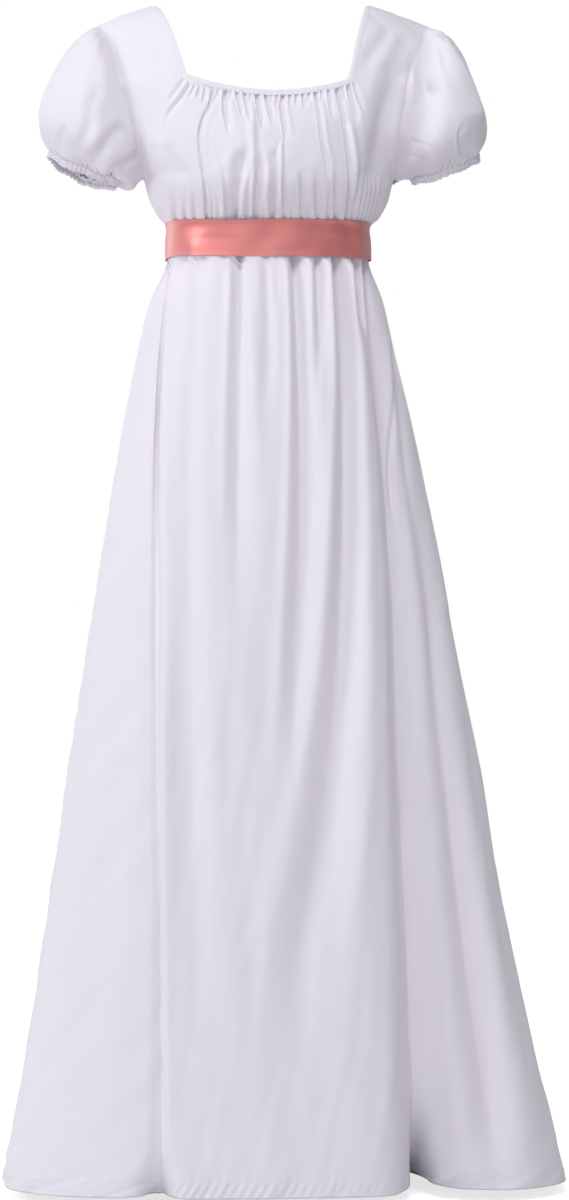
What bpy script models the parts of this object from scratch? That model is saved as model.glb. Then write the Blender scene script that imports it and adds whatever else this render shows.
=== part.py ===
"""Regency gown, filled out as worn and hollow: gathered bodice, puff sleeves, sash and long skirt.

Frame in metres: +Z up, the front of the gown faces -Y, the wearer's left is +X.
The origin is midway between the shoulders at the height of the neck points,
where the wearer holds the gown up. Each piece is a sheet of cloth placed on rounded
sections of the body, creased by rows of folds and then given its wall.
"""
import math
from collections import namedtuple

import bmesh
import bpy
import numpy as np

# Driving sizes
CLOTH = 0.0012
RIBBON = 0.0012
ELASTIC = 0.0022
SEAM_GAP = 0.0004
SIDE_GAP = 0.0013
WAIST_Z = -0.2832
HEM_Z = -1.372
NECK_FRONT_Z = -0.1020
NECK_BACK_Z = -0.0950
NECK_FRONT_SAG = 0.0170
NECK_BACK_SAG = 0.0050
UNDERARM_Z = -0.2080
NECK_CORNER_X = 0.0970
NECK_POINT_X = 0.1250
NECK_POINT_Z = -0.0022
SHOULDER_END_X = 0.1905
SHOULDER_END_Z = -0.0245
BINDING_WIDTH = 0.0060
SASH_TOP_Z = -0.2625
SASH_FOOT_Z = -0.3035
SASH_CLEARANCE = 0.0022
CUFF_WIDTH = 0.0085

# Body sections: half widths to the wearer's right and left, depths to front and back,
# the depth at which the section is widest, and how square it is (2 is an ellipse)
Section = namedtuple("Section", "z right left front back widest power")
BODICE_SECTIONS = (
    Section(-0.0800, 0.1950, 0.1950, 0.0930, 0.090, 0.000, 2.40),
    Section(-0.1000, 0.1900, 0.1900, 0.1000, 0.094, 0.000, 2.40),
    Section(-0.1300, 0.1790, 0.1790, 0.1120, 0.099, 0.000, 2.35),
    Section(-0.1600, 0.1690, 0.1690, 0.1220, 0.100, 0.000, 2.30),
    Section(-0.1900, 0.1540, 0.1560, 0.1270, 0.098, 0.000, 2.30),
    Section(-0.2080, 0.1430, 0.1490, 0.1280, 0.096, 0.000, 2.30),
    Section(-0.2200, 0.1400, 0.1460, 0.1265, 0.094, 0.000, 2.30),
    Section(-0.2350, 0.1350, 0.1415, 0.1190, 0.092, 0.000, 2.30),
    Section(-0.2500, 0.1265, 0.1330, 0.1070, 0.089, 0.000, 2.30),
    Section(-0.2620, 0.1165, 0.1215, 0.0955, 0.086, 0.000, 2.30),
    Section(-0.2832, 0.1150, 0.1200, 0.0910, 0.085, 0.000, 2.30),
)
SKIRT_SECTIONS = (
    Section(-0.2832, 0.1150, 0.1200, 0.0910, 0.085, 0.000, 2.30),
    Section(-0.3040, 0.1180, 0.1240, 0.0930, 0.090, 0.000, 2.30),
    Section(-0.3480, 0.1345, 0.1360, 0.1010, 0.104, 0.000, 2.30),
    Section(-0.4060, 0.1490, 0.1490, 0.1110, 0.120, 0.000, 2.30),
    Section(-0.4650, 0.1610, 0.1635, 0.1200, 0.134, -0.002, 2.30),
    Section(-0.6000, 0.1850, 0.1925, 0.1350, 0.160, -0.008, 2.35),
    Section(-0.7500, 0.2090, 0.2200, 0.1500, 0.184, -0.016, 2.40),
    Section(-0.9000, 0.2325, 0.2485, 0.1630, 0.204, -0.024, 2.45),
    Section(-1.0500, 0.2535, 0.2730, 0.1730, 0.222, -0.032, 2.50),
    Section(-1.2000, 0.2760, 0.3050, 0.1810, 0.238, -0.040, 2.50),
    Section(-1.3720, 0.3070, 0.3455, 0.1880, 0.252, -0.048, 2.50),
)

# Skirt folds. Each lies so far from the middle plane at the waist, the hips, the knees and the
# hem. Its depth and width grow from where it begins to where it ends; ridges are negative.
Fold = namedtuple("Fold", "waist hip knee hem begins ends depth_head depth_foot width_head width_foot")
RIGHT_VALLEY = Fold(-0.114, -0.134, -0.136, -0.132, -0.283, -1.400, 0.0045, 0.038, 0.010, 0.046)
LEFT_VALLEY = Fold(0.111, 0.130, 0.134, 0.170, -0.283, -1.400, 0.0050, 0.062, 0.008, 0.050)
SKIRT_FRONT_FOLDS = (
    RIGHT_VALLEY,
    Fold(-0.114, -0.134, -0.136, -0.132, -0.300, -1.400, 0.0015, 0.052, 0.006, 0.011),
    Fold(-0.102, -0.110, -0.112, -0.112, -0.283, -0.600, 0.0032, 0.001, 0.007, 0.011),
    Fold(-0.080, -0.097, -0.099, -0.089, -0.283, -1.400, 0.0042, 0.006, 0.008, 0.022),
    Fold(-0.057, -0.062, -0.064, -0.064, -0.283, -0.440, 0.0030, 0.001, 0.006, 0.010),
    Fold(-0.034, -0.041, -0.034, -0.028, -0.283, -1.000, 0.0042, 0.004, 0.007, 0.020),
    Fold(-0.024, -0.024, -0.024, -0.024, -0.283, -0.380, 0.0026, 0.001, 0.005, 0.007),
    Fold(-0.002, -0.012, -0.012, -0.012, -0.283, -0.560, 0.0036, 0.001, 0.007, 0.012),
    Fold(0.027, 0.030, 0.020, 0.002, -0.283, -0.960, 0.0058, 0.004, 0.006, 0.020),
    Fold(0.056, 0.052, 0.050, 0.050, -0.283, -0.500, 0.0042, 0.001, 0.006, 0.010),
    Fold(0.074, 0.084, 0.068, 0.002, -0.283, -1.320, 0.0050, 0.004, 0.006, 0.028),
    Fold(0.088, 0.095, 0.092, 0.100, -0.290, -1.250, -0.0030, -0.006, 0.006, 0.024),
    Fold(0.101, 0.113, 0.119, 0.132, -0.283, -0.780, 0.0045, 0.002, 0.006, 0.012),
    LEFT_VALLEY,
    Fold(0.111, 0.130, 0.134, 0.170, -0.300, -1.400, 0.0015, 0.150, 0.005, 0.013),
    Fold(0.120, 0.150, 0.176, 0.222, -0.480, -1.300, 0.0010, 0.006, 0.008, 0.022),
    Fold(-0.150, -0.165, -0.184, -0.228, -0.700, -1.300, 0.0010, 0.004, 0.010, 0.024),
)
BACK_FOLD_COUNT = 24
BACK_FOLD_SPAN = (0.44, 1.56)

# Bodice gathers: where each runs from the middle plane at its sewn edge and at its far end,
# how far it runs from that edge, and its depth
Gather = namedtuple("Gather", "edge far length depth width")
NECK_GATHERS = (
    Gather(-0.091, -0.115, 0.045, 0.0026, 0.0045),
    Gather(-0.083, -0.094, 0.024, 0.0012, 0.0030),
    Gather(-0.076, -0.081, 0.020, 0.0012, 0.0030),
    Gather(-0.064, -0.076, 0.120, 0.0018, 0.0035),
    Gather(-0.056, -0.058, 0.036, 0.0014, 0.0030),
    Gather(-0.050, -0.045, 0.075, 0.0020, 0.0038),
    Gather(-0.040, -0.032, 0.058, 0.0018, 0.0034),
    Gather(-0.032, -0.026, 0.030, 0.0012, 0.0030),
    Gather(-0.025, -0.020, 0.026, 0.0014, 0.0030),
    Gather(-0.014, -0.014, 0.040, 0.0020, 0.0034),
    Gather(-0.006, 0.003, 0.058, 0.0020, 0.0034),
    Gather(0.002, 0.004, 0.030, 0.0012, 0.0030),
    Gather(0.011, 0.015, 0.062, 0.0018, 0.0034),
    Gather(0.020, 0.021, 0.034, 0.0014, 0.0030),
    Gather(0.028, 0.034, 0.030, 0.0012, 0.0030),
    Gather(0.041, 0.066, 0.100, 0.0022, 0.0036),
    Gather(0.048, 0.052, 0.034, 0.0012, 0.0030),
    Gather(0.056, 0.056, 0.030, 0.0014, 0.0030),
    Gather(0.065, 0.086, 0.105, 0.0024, 0.0040),
    Gather(0.081, 0.096, 0.046, 0.0018, 0.0038),
)
WAIST_GATHERS = (
    Gather(-0.106, -0.122, 0.060, 0.0022, 0.0048),
    Gather(-0.096, -0.112, 0.045, 0.0018, 0.0042),
    Gather(-0.083, -0.088, 0.060, 0.0024, 0.0042),
    Gather(-0.070, -0.074, 0.080, 0.0022, 0.0040),
    Gather(-0.059, -0.060, 0.050, 0.0020, 0.0036),
    Gather(-0.046, -0.048, 0.070, 0.0022, 0.0040),
    Gather(-0.033, -0.036, 0.095, 0.0032, 0.0052),
    Gather(-0.023, -0.024, 0.060, 0.0020, 0.0036),
    Gather(-0.013, -0.014, 0.055, 0.0020, 0.0036),
    Gather(-0.003, -0.002, 0.060, 0.0024, 0.0036),
    Gather(0.005, 0.005, 0.095, 0.0024, 0.0032),
    Gather(0.018, 0.020, 0.065, 0.0022, 0.0036),
    Gather(0.028, 0.030, 0.040, 0.0018, 0.0034),
    Gather(0.038, 0.040, 0.060, 0.0022, 0.0036),
    Gather(0.049, 0.052, 0.055, 0.0022, 0.0036),
    Gather(0.059, 0.060, 0.045, 0.0022, 0.0036),
    Gather(0.070, 0.074, 0.095, 0.0028, 0.0040),
    Gather(0.083, 0.088, 0.060, 0.0026, 0.0040),
    Gather(0.093, 0.102, 0.060, 0.0024, 0.0038),
    Gather(0.102, 0.116, 0.065, 0.0024, 0.0038),
    Gather(0.109, 0.128, 0.070, 0.0024, 0.0038),
)
BACK_GATHER_COUNT = 18

# Sleeve loops: the highest and lowest point of each, seen from the front, and half its depth
Loop = namedtuple("Loop", "along top_x top_z foot_x foot_z depth")
SLEEVE_LOOPS = (
    Loop(0.10, 0.2055, -0.0315, 0.1510, -0.2110, 0.068),
    Loop(0.28, 0.2310, -0.0530, 0.1560, -0.2130, 0.080),
    Loop(0.48, 0.2500, -0.0880, 0.1605, -0.2130, 0.086),
    Loop(0.68, 0.2620, -0.1280, 0.1645, -0.2110, 0.079),
    Loop(0.86, 0.2600, -0.1560, 0.1675, -0.2085, 0.062),
    Loop(1.00, 0.2520, -0.1727, 0.1700, -0.2060, 0.044),
)
Sleeve = namedtuple("Sleeve", "side head widen drop front_rise back_drop")
SLEEVES = {
    "right": Sleeve(-1.0, -0.003, 0.004, 0.006, 0.006, 0.012),
    "left": Sleeve(1.0, 0.004, 0.001, -0.003, 0.002, 0.001),
}
HEAD_GATHERS = 11
CUFF_GATHERS = 24

# Mesh counts: columns run round the piece, rows run down it
SKIRT_ROWS = (WAIST_Z - 0.0002, -0.303, -0.326, -0.36, -0.41, -0.49, -0.60, -0.74, -0.90,
              -1.06, -1.22, HEM_Z)
BODICE_ROWS = (WAIST_Z + 0.0002, -0.262, -0.245, -0.228, -0.214, UNDERARM_Z, -0.189, -0.165, -0.142, -0.118)
STRAP_ROWS = 5
SKIRT_FRONT_COLUMNS = 62
SKIRT_BACK_COLUMNS = 76
BODICE_COLUMNS = (8, 30)
BACK_COLUMNS = (7, 18)
SLEEVE_COLUMNS = 48
SLEEVE_ROWS = 7
BINDING_COLUMNS = 80
SASH_COLUMNS = 54


def value_at(table, field, z):
    """Value of one column of a table of sections at a height, smooth from row to row."""
    heights = np.array([row.z for row in table])
    values = np.array([getattr(row, field) for row in table])
    slopes = np.gradient(values, heights)
    place = int(np.clip(np.searchsorted(-heights, -z) - 1, 0, len(table) - 2))
    span = heights[place + 1] - heights[place]
    t = float(np.clip((z - heights[place]) / span, 0.0, 1.0))
    start = (2 * t**3 - 3 * t**2 + 1) * values[place] + (t**3 - 2 * t**2 + t) * span * slopes[place]
    stop = (3 * t**2 - 2 * t**3) * values[place + 1] + (t**3 - t**2) * span * slopes[place + 1]
    return float(start + stop)


class BodySection:
    """One level section round the body. around runs 0 at the front middle to 1 at the back
    middle on the wearer's left, and 0 to -1 on the wearer's right."""

    def __init__(self, table, z, clearance=0.0):
        self.z = z
        right = value_at(table, "right", z) + clearance
        left = value_at(table, "left", z) + clearance
        front = value_at(table, "front", z) + clearance
        back = value_at(table, "back", z) + clearance
        widest = value_at(table, "widest", z)
        rounding = 2.0 / value_at(table, "power", z)
        self.turn = np.linspace(-math.pi, math.pi, 1441)
        sine = np.sin(self.turn)
        cosine = np.cos(self.turn)
        half_width = np.where(sine > 0, left, right)
        self.x = half_width * np.sign(sine) * np.abs(sine) ** rounding
        reach = np.where(cosine > 0, -(front + widest), back - widest)
        self.y = widest + reach * np.abs(cosine) ** rounding
        steps = np.hypot(np.diff(self.x), np.diff(self.y))
        length = np.concatenate([[0.0], np.cumsum(steps)])
        length -= length[720]
        self.half_round = (length[-1] - length[0]) / 2
        self.around = np.where(length > 0, length / length[-1], length / -length[0])
        run_x = np.gradient(self.x)
        run_y = np.gradient(self.y)
        size = np.hypot(run_x, run_y)
        self.out_x = run_y / size
        self.out_y = -run_x / size

    def share_at(self, across, back=False):
        """Share of the half round between the middle line and a distance across."""
        if not back:
            front = slice(360, 1081)
            return np.interp(across, self.x[front], self.around[front])
        left = slice(1080, 1441)
        right = slice(0, 361)
        left_share = 1 - np.interp(across, self.x[left][::-1], self.around[left][::-1])
        right_share = -1 - np.interp(across, self.x[right][::-1], self.around[right][::-1])
        return np.where(np.asarray(across) >= 0, left_share, right_share)

    def points(self, around):
        """Points and outward directions at shares of the way round, wrapped at the back."""
        wrapped = (np.asarray(around, float) + 1) % 2 - 1
        columns = (self.x, self.y, self.out_x, self.out_y)
        return [np.interp(wrapped, self.around, column) for column in columns]


def bell(distance, width):
    """Rounded trough, 1 in the middle and 0 well outside the width."""
    return np.exp(-((distance / width) ** 2))


def fade(share):
    """Smooth rise from 0 to 1."""
    t = np.clip(share, 0.0, 1.0)
    return t * t * (3 - 2 * t)


def uneven(index, spread):
    """Repeatable offset of up to the spread either way."""
    return spread * math.sin(index * 2.399963 + 0.7) * math.cos(index * 1.131 + 0.3)


class Skirt:
    """The long skirt: its sections, the fold rows and the two panels' edges."""

    def __init__(self):
        start, stop = BACK_FOLD_SPAN
        pitch = (stop - start) / BACK_FOLD_COUNT
        self.back_folds = [
            (
                start + (index + 0.5) * pitch + uneven(index, 0.28 * pitch),
                0.0034 + uneven(index + 3, 0.0010),
                (0.012 if index % 3 == 1 else 0.004) + uneven(index + 7, 0.0030),
                HEM_Z - 0.1 if index % 3 == 1 else -0.62 - 0.16 * (index % 4),
            )
            for index in range(BACK_FOLD_COUNT)
        ]
        self.pitch = pitch

    @staticmethod
    def across_at(fold, z):
        """Where a fold lies from the middle plane at a height."""
        stations = (HEM_Z, -0.80, -0.505, WAIST_Z)
        return np.interp(z, stations, (fold.hem, fold.knee, fold.hip, fold.waist))

    def dips(self, section, around):
        """Depth inward and depth straight back at shares of the way round."""
        inward = np.zeros_like(around)
        straight = np.zeros_like(around)
        z = section.z
        for fold in SKIRT_FRONT_FOLDS:
            along = (fold.begins - z) / (fold.begins - fold.ends)
            if not 0.0 <= along <= 1.0:
                continue
            depth = fold.depth_head + (fold.depth_foot - fold.depth_head) * along**1.2
            width = fold.width_head + (fold.width_foot - fold.width_head) * along
            if fold.begins < WAIST_Z:
                depth *= fade(along / 0.15)
            if fold.ends > HEM_Z:
                depth *= fade((1 - along) / 0.35)
            middle = section.share_at(self.across_at(fold, z))
            distance = ((around - middle + 1) % 2 - 1) * section.half_round
            dip = depth * bell(distance, width)
            valley = fade((WAIST_Z - z) / 0.3) if fold.depth_foot > 0.03 else 0.0
            straight += dip * valley
            inward += dip * (1 - valley)
        for middle, depth_head, depth_foot, ends in self.back_folds:
            along = (WAIST_Z - z) / (WAIST_Z - ends)
            if along > 1.0:
                continue
            depth = depth_head + (depth_foot - depth_head) * along
            if ends > HEM_Z:
                depth *= fade((1 - along) / 0.35)
            distance = ((around - middle + 1) % 2 - 1) * section.half_round
            width = self.pitch * section.half_round * (0.34 + 0.10 * along)
            inward += depth * bell(distance, width)
        return inward, straight

    def row(self, z, around):
        """Points of the cloth at a height, at shares of the way round."""
        section = BodySection(SKIRT_SECTIONS, z)
        x, y, out_x, out_y = section.points(around)
        inward, straight = self.dips(section, around)
        heights = np.full_like(x, z)
        return np.stack([x - inward * out_x, y - inward * out_y + straight, heights], axis=1)

    def seams(self, z):
        """Shares of the way round of the right and the left seam at a height."""
        section = BodySection(SKIRT_SECTIONS, z)
        right = section.share_at(self.across_at(RIGHT_VALLEY, z))
        left = section.share_at(self.across_at(LEFT_VALLEY, z))
        return float(right), float(left), SEAM_GAP / 2 / section.half_round

    def panel(self, back):
        """Grid of points of the front or the back panel, from the waist to the hem."""
        columns = SKIRT_BACK_COLUMNS if back else SKIRT_FRONT_COLUMNS
        share = np.linspace(0.0, 1.0, columns + 1)
        share = share - 0.6 * np.sin(2 * math.pi * share) / (2 * math.pi)
        rows = []
        for z in SKIRT_ROWS:
            right, left, gap = self.seams(z)
            if back:
                around = left + gap + (2 + right - left - 2 * gap) * share
            else:
                around = right + gap + (left - right - 2 * gap) * share
            rows.append(self.row(z, around))
        return np.array(rows)


class Bodice:
    """One side of the bodice, front or back: its panel with both straps."""

    # The armhole edge as a share of the half width of the section
    ARMHOLE = ((-0.208, 1.0), (-0.187, 0.948), (-0.160, 0.888), (-0.127, 0.880), (-0.090, 0.866))

    def __init__(self, back, neck, neck_gathers, waist_gathers, columns):
        self.back = back
        self.neck_z, self.neck_sag = neck
        self.neck_gathers = neck_gathers
        self.waist_gathers = waist_gathers
        self.strap_columns, self.middle_columns = columns

    def shares(self, section):
        """Shares across a row: right edge, right corner, left corner, left edge."""
        heights = [row[0] for row in self.ARMHOLE]
        edge = np.interp(section.z, heights, [row[1] for row in self.ARMHOLE])
        right = float(section.share_at(section.x.min() * edge, self.back))
        left = float(section.share_at(section.x.max() * edge, self.back))
        narrow = 1 - SIDE_GAP / section.half_round
        corner = np.interp(section.z, (WAIST_Z, self.neck_z), (0.080, NECK_CORNER_X))
        corners = [float(section.share_at(side * corner, self.back)) for side in (-1, 1)]
        outer = (self.strap_columns, self.middle_columns, self.strap_columns)
        stops = (right * narrow, corners[0], corners[1], left * narrow)
        runs = [
            np.linspace(stops[index], stops[index + 1], count + 1)[min(index, 1):]
            for index, count in enumerate(outer)
        ]
        return np.concatenate(runs)

    def dips(self, section, share, across):
        """Depth inward of the gathers along a row."""
        inward = np.zeros_like(share)
        for gathers, edge_z, way in (
            (self.neck_gathers, self.neck_z, -1),
            (self.waist_gathers, WAIST_Z, 1),
        ):
            for gather in gathers:
                along = (section.z - edge_z) * way / gather.length
                if not -0.02 <= along <= 1.0:
                    continue
                middle = gather.edge + (gather.far - gather.edge) * along
                rise = 0.35 + 0.65 * fade(along / 0.2)
                depth = gather.depth * rise * fade((1 - along) / 0.6)
                inward += depth * bell(across - middle, gather.width * (1 + 0.5 * along))
        return inward

    def row(self, z, creased=True):
        """Points across the panel at a height below the neckline."""
        section = BodySection(BODICE_SECTIONS, z)
        share = self.shares(section)
        around = np.where(share < 0, -1 - share, 1 - share) if self.back else share
        x, y, out_x, out_y = section.points(around)
        if creased:
            inward = self.dips(section, share, x)
            x = x - inward * out_x
            y = y - inward * out_y
        sag = self.neck_sag * fade(1 - (self.neck_z - z) / 0.06)
        heights = z - sag * np.clip(1 - (x / NECK_CORNER_X) ** 2, 0.0, 1.0)
        return np.stack([x, y, heights], axis=1)

    def straps(self, creased=True):
        """Rows of the two straps, from the neckline up over to the shoulder seam."""
        base = self.row(self.neck_z, creased)
        side = -1.0 if self.back else 1.0
        width = self.strap_columns
        rows = []
        for step in range(STRAP_ROWS + 1):
            along = step / STRAP_ROWS
            row = base.copy()
            for first, sign in ((0, -1.0), (len(base) - 1 - width, 1.0)):
                part = base[first:first + width + 1]
                over = np.linspace(1.0, 0.0, width + 1) if sign < 0 else np.linspace(0.0, 1.0, width + 1)
                top_x = sign * (NECK_POINT_X + (SHOULDER_END_X - NECK_POINT_X) * over)
                top_z = NECK_POINT_Z + (SHOULDER_END_Z - NECK_POINT_Z) * over**1.15
                top = np.stack([top_x, np.full_like(top_x, -side * SIDE_GAP / 2), top_z], axis=1)
                turn = 0.35 * part + 0.65 * top
                turn[:, 1] = part[:, 1] + side * 0.034
                turn[:, 2] = top_z - 0.002
                row[first:first + width + 1] = (
                    (1 - along) ** 2 * part + 2 * along * (1 - along) * turn + along**2 * top
                )
            rows.append(row)
        return np.array(rows)

    def grid(self, creased=True):
        """Grid of the whole piece: rows from the waist seam up to the shoulder seam."""
        heights = [z for z in BODICE_ROWS if z < self.neck_z - 0.008]
        below = np.array([self.row(z, creased) for z in heights])
        return np.concatenate([below, self.straps(creased)])

    def edge(self, sign):
        """The armhole edge on one side, from the shoulder seam down to the underarm."""
        grid = self.grid()
        column = 0 if sign < 0 else -1
        line = grid[::-1, column]
        inner = grid[::-1, 1 if sign < 0 else -2]
        keep = line[:, 2] > UNDERARM_Z - 0.0005
        outward = line[keep] - inner[keep]
        outward /= np.linalg.norm(outward, axis=1)[:, None]
        return line[keep] + SEAM_GAP * outward


def along_line(line, count):
    """Points evenly spaced along a line of points."""
    steps = np.linalg.norm(np.diff(line, axis=0), axis=1)
    length = np.concatenate([[0.0], np.cumsum(steps)])
    stops = np.linspace(0.0, length[-1], count)
    return np.stack([np.interp(stops, length, line[:, axis]) for axis in range(3)], axis=1)


def sleeve_rings(sleeve, front, back):
    """Rings of one sleeve from the armhole to the cuff, each starting at the shoulder."""
    half = SLEEVE_COLUMNS // 2
    front_edge = along_line(front.edge(sleeve.side), half + 1)
    back_edge = along_line(back.edge(sleeve.side), half + 1)
    turn = np.arange(SLEEVE_COLUMNS) * 2 * math.pi / SLEEVE_COLUMNS
    rings = [np.concatenate([front_edge[:-1], back_edge[:0:-1]])]
    rings[0][half] = (front_edge[-1] + back_edge[-1]) / 2
    for loop in SLEEVE_LOOPS:
        widen = sleeve.head * bell(loop.along - 0.15, 0.2)
        widen += sleeve.widen * bell(loop.along - 0.75, 0.3)
        top = np.array([sleeve.side * (loop.top_x + widen), 0.0, loop.top_z])
        drop = sleeve.drop * fade(loop.along / 0.3)
        foot = np.array([sleeve.side * loop.foot_x, 0.0, loop.foot_z - drop])
        centre = (top + foot) / 2
        ring = centre + np.cos(turn)[:, None] * (top - foot) / 2
        ring[:, 1] = -loop.depth * np.sin(turn)
        tilt = np.where(np.sin(turn) > 0, sleeve.front_rise, -sleeve.back_drop)
        ring[:, 2] += tilt * np.abs(np.sin(turn)) * loop.along**2
        head = bell(loop.along, 0.34) * 0.0036 * bell(np.sin(turn / 2), 0.75)
        head *= 0.5 + 0.5 * np.cos(HEAD_GATHERS * 2 * turn + 0.8 * np.sin(3 * turn))
        cuff = fade((loop.along - 0.55) / 0.4) * 0.0030
        cuff *= 0.5 + 0.5 * np.cos(CUFF_GATHERS * turn)
        outward = ring - centre
        outward /= np.linalg.norm(outward, axis=1)[:, None]
        rings.append(ring - outward * (head + cuff)[:, None])
    return np.array(rings)


def cuff_rings(rings):
    """Rings of the elastic edge that carries on from a sleeve's last ring, scalloped at its rim."""
    last = rings[-1]
    centre = last.mean(axis=0)
    across = last[0] - last[len(last) // 2]
    depth = last[len(last) // 4] - last[3 * len(last) // 4]
    axis = np.cross(across, depth)
    axis *= -math.copysign(1.0, axis[2]) / np.linalg.norm(axis)
    outward = last - centre
    outward /= np.linalg.norm(outward, axis=1)[:, None]
    scallop = 0.0011 * np.cos(CUFF_GATHERS * np.arange(len(last)) * 2 * math.pi / len(last))
    start = last + axis * SEAM_GAP
    rim = last + axis * (SEAM_GAP + CUFF_WIDTH) + outward * (0.0008 + scallop)[:, None]
    return np.array([start, (start + rim) / 2 - outward * 0.0006, rim])


def neck_edge(bodice):
    """Neck edge of one side from its right shoulder down, across and up, with the way out of it."""
    grid = bodice.grid(creased=False)
    first = len(grid) - STRAP_ROWS - 1
    right = bodice.strap_columns
    left = right + bodice.middle_columns
    straps = grid[first:]
    base = straps[0]
    up = straps[1, right] - straps[0, right]
    up /= np.linalg.norm(up)
    rise = grid[first, right:left + 1] - grid[first - 1, right:left + 1]
    rise /= np.linalg.norm(rise, axis=1)[:, None]
    lines = []
    for column, inner in ((right, right - 1), (left, left + 1)):
        outward = straps[:, column] - straps[:, inner]
        outward /= np.linalg.norm(outward, axis=1)[:, None]
        lines.append((straps[:, column], outward))
    (right_line, right_out), (left_line, left_out) = lines
    right_out[0] = right_out[0] + rise[0]
    left_out[0] = left_out[0] + rise[-1]
    points = np.concatenate([right_line[::-1], base[right + 1:left], left_line])
    outward = np.concatenate([right_out[::-1], rise[1:-1], left_out])
    return points, outward


def binding_rings(front, back):
    """The two rims of the elastic edge that runs round the whole neckline."""
    front_points, front_out = neck_edge(front)
    back_points, back_out = neck_edge(back)
    points = np.concatenate([front_points[:-1], back_points[::-1][:-1]])
    outward = np.concatenate([front_out[:-1], back_out[::-1][:-1]])
    return np.array([
        points + SEAM_GAP * outward,
        points + (SEAM_GAP + BINDING_WIDTH) * outward,
    ])


def sash_grid():
    """The ribbon once round the waist, its end lapped over its start at the back."""
    around = np.linspace(-1.03, 1.03, SASH_COLUMNS + 1)
    lap = fade((around - 0.86) / 0.10)
    rows = []
    for z in (SASH_FOOT_Z, (SASH_FOOT_Z + SASH_TOP_Z) / 2, SASH_TOP_Z):
        table = SKIRT_SECTIONS if z < WAIST_Z else BODICE_SECTIONS
        section = BodySection(table, z, SASH_CLEARANCE)
        x, y, out_x, out_y = section.points(around)
        lift = lap * (RIBBON + 0.0008)
        rows.append(np.stack([x + lift * out_x, y + lift * out_y, np.full_like(x, z)], axis=1))
    return np.array(rows)


def material(name, colour, roughness, metallic=0.0):
    """A Principled material of one colour."""
    made = bpy.data.materials.new(name)
    made.use_nodes = True
    shader = made.node_tree.nodes["Principled BSDF"]
    shader.inputs["Base Color"].default_value = (*colour, 1.0)
    shader.inputs["Roughness"].default_value = roughness
    shader.inputs["Metallic"].default_value = metallic
    return made


def cloth(name, grid, thickness, look, collection, ring=False, cut=None, outward=1.0):
    """A sheet of cloth placed on a grid of points, closed into a ring or cut open, with its wall."""
    rows = len(grid)
    columns = grid.shape[1] + (1 if ring else 0)
    mesh = bpy.data.meshes.new(name)
    sheet = bmesh.new()
    bmesh.ops.create_grid(sheet, x_segments=columns - 1, y_segments=rows - 1, size=0.5)
    taken = []
    for vertex in sheet.verts:
        column = round((vertex.co.x + 0.5) * (columns - 1))
        row = round((vertex.co.y + 0.5) * (rows - 1))
        if cut and row > cut[0] and cut[1] < column < cut[2]:
            taken.append(vertex)
        vertex.co = grid[row, column % grid.shape[1]]
    bmesh.ops.delete(sheet, geom=taken, context="VERTS")
    if ring:
        bmesh.ops.remove_doubles(sheet, verts=sheet.verts, dist=0.00001)
    if outward < 0:
        bmesh.ops.reverse_faces(sheet, faces=sheet.faces)
    sheet.to_mesh(mesh)
    sheet.free()
    mesh.shade_smooth()
    piece = bpy.data.objects.new(name, mesh)
    mesh.materials.append(look)
    collection.objects.link(piece)
    wall = piece.modifiers.new("wall", "SOLIDIFY")
    wall.thickness = thickness
    wall.offset = -1.0
    wall.use_even_offset = True
    return piece


def back_gathers():
    """Gathers of the back, evenly drawn up at the waist and a little uneven in length."""
    pitch = 0.206 / BACK_GATHER_COUNT
    return tuple(
        Gather(
            -0.103 + (index + 0.5) * pitch + uneven(index, 0.0012),
            -0.108 + (index + 0.5) * pitch * 1.05 + uneven(index, 0.0012),
            0.055 + uneven(index + 4, 0.020),
            0.0022 + uneven(index + 9, 0.0005),
            0.0040,
        )
        for index in range(BACK_GATHER_COUNT)
    )


def main():
    """Build every piece of the gown in its own collection."""
    for old in list(bpy.data.objects):
        bpy.data.objects.remove(old, do_unlink=True)
    gown = bpy.data.collections.new("regency_gown")
    bpy.context.scene.collection.children.link(gown)
    skirt = Skirt()
    front_neck = (NECK_FRONT_Z, NECK_FRONT_SAG)
    back_neck = (NECK_BACK_Z, NECK_BACK_SAG)
    front = Bodice(False, front_neck, NECK_GATHERS, WAIST_GATHERS, BODICE_COLUMNS)
    back = Bodice(True, back_neck, (), back_gathers(), BACK_COLUMNS)
    white = (0.80, 0.78, 0.84)
    for name, back_panel in (("skirt_front", False), ("skirt_back", True)):
        look = material(name, white, 0.85)
        cloth(name, skirt.panel(back_panel), CLOTH, look, gown, outward=-1.0)
    for name, side in (("bodice_front", front), ("bodice_back", back)):
        look = material(name, white, 0.85)
        grid = side.grid()
        right = side.strap_columns
        neck_row = len(grid) - STRAP_ROWS - 1
        cut = (neck_row, right, right + side.middle_columns)
        cloth(name, grid, CLOTH, look, gown, cut=cut, outward=-1.0 if side.back else 1.0)
    for name, sleeve in SLEEVES.items():
        rings = sleeve_rings(sleeve, front, back)
        cloth(f"sleeve_{name}", rings, CLOTH, material(f"sleeve_{name}", white, 0.85), gown,
              ring=True, outward=sleeve.side)
        cloth(f"cuff_{name}", cuff_rings(rings), CLOTH, material(f"cuff_{name}", white, 0.8), gown,
              ring=True, outward=sleeve.side)
    cloth("neck_binding", binding_rings(front, back), ELASTIC, material("neck_binding", white, 0.8),
          gown, ring=True)
    cloth("sash", sash_grid(), RIBBON, material("sash", (0.80, 0.27, 0.27), 0.35), gown)


main()
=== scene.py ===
"""Regency gown dressed for the studio: crepe panels, satin sash, elastic edges and stitching.

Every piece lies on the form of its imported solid, in metres and in the same frame: +Z up, the
front of the gown faces -Y and the wearer's left is +X. Each panel is a fine sheet placed on
rounded sections of the body and creased by rows of folds in its own sizes. Creases alone are
drawn in millimetres.
"""
from __future__ import annotations

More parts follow.
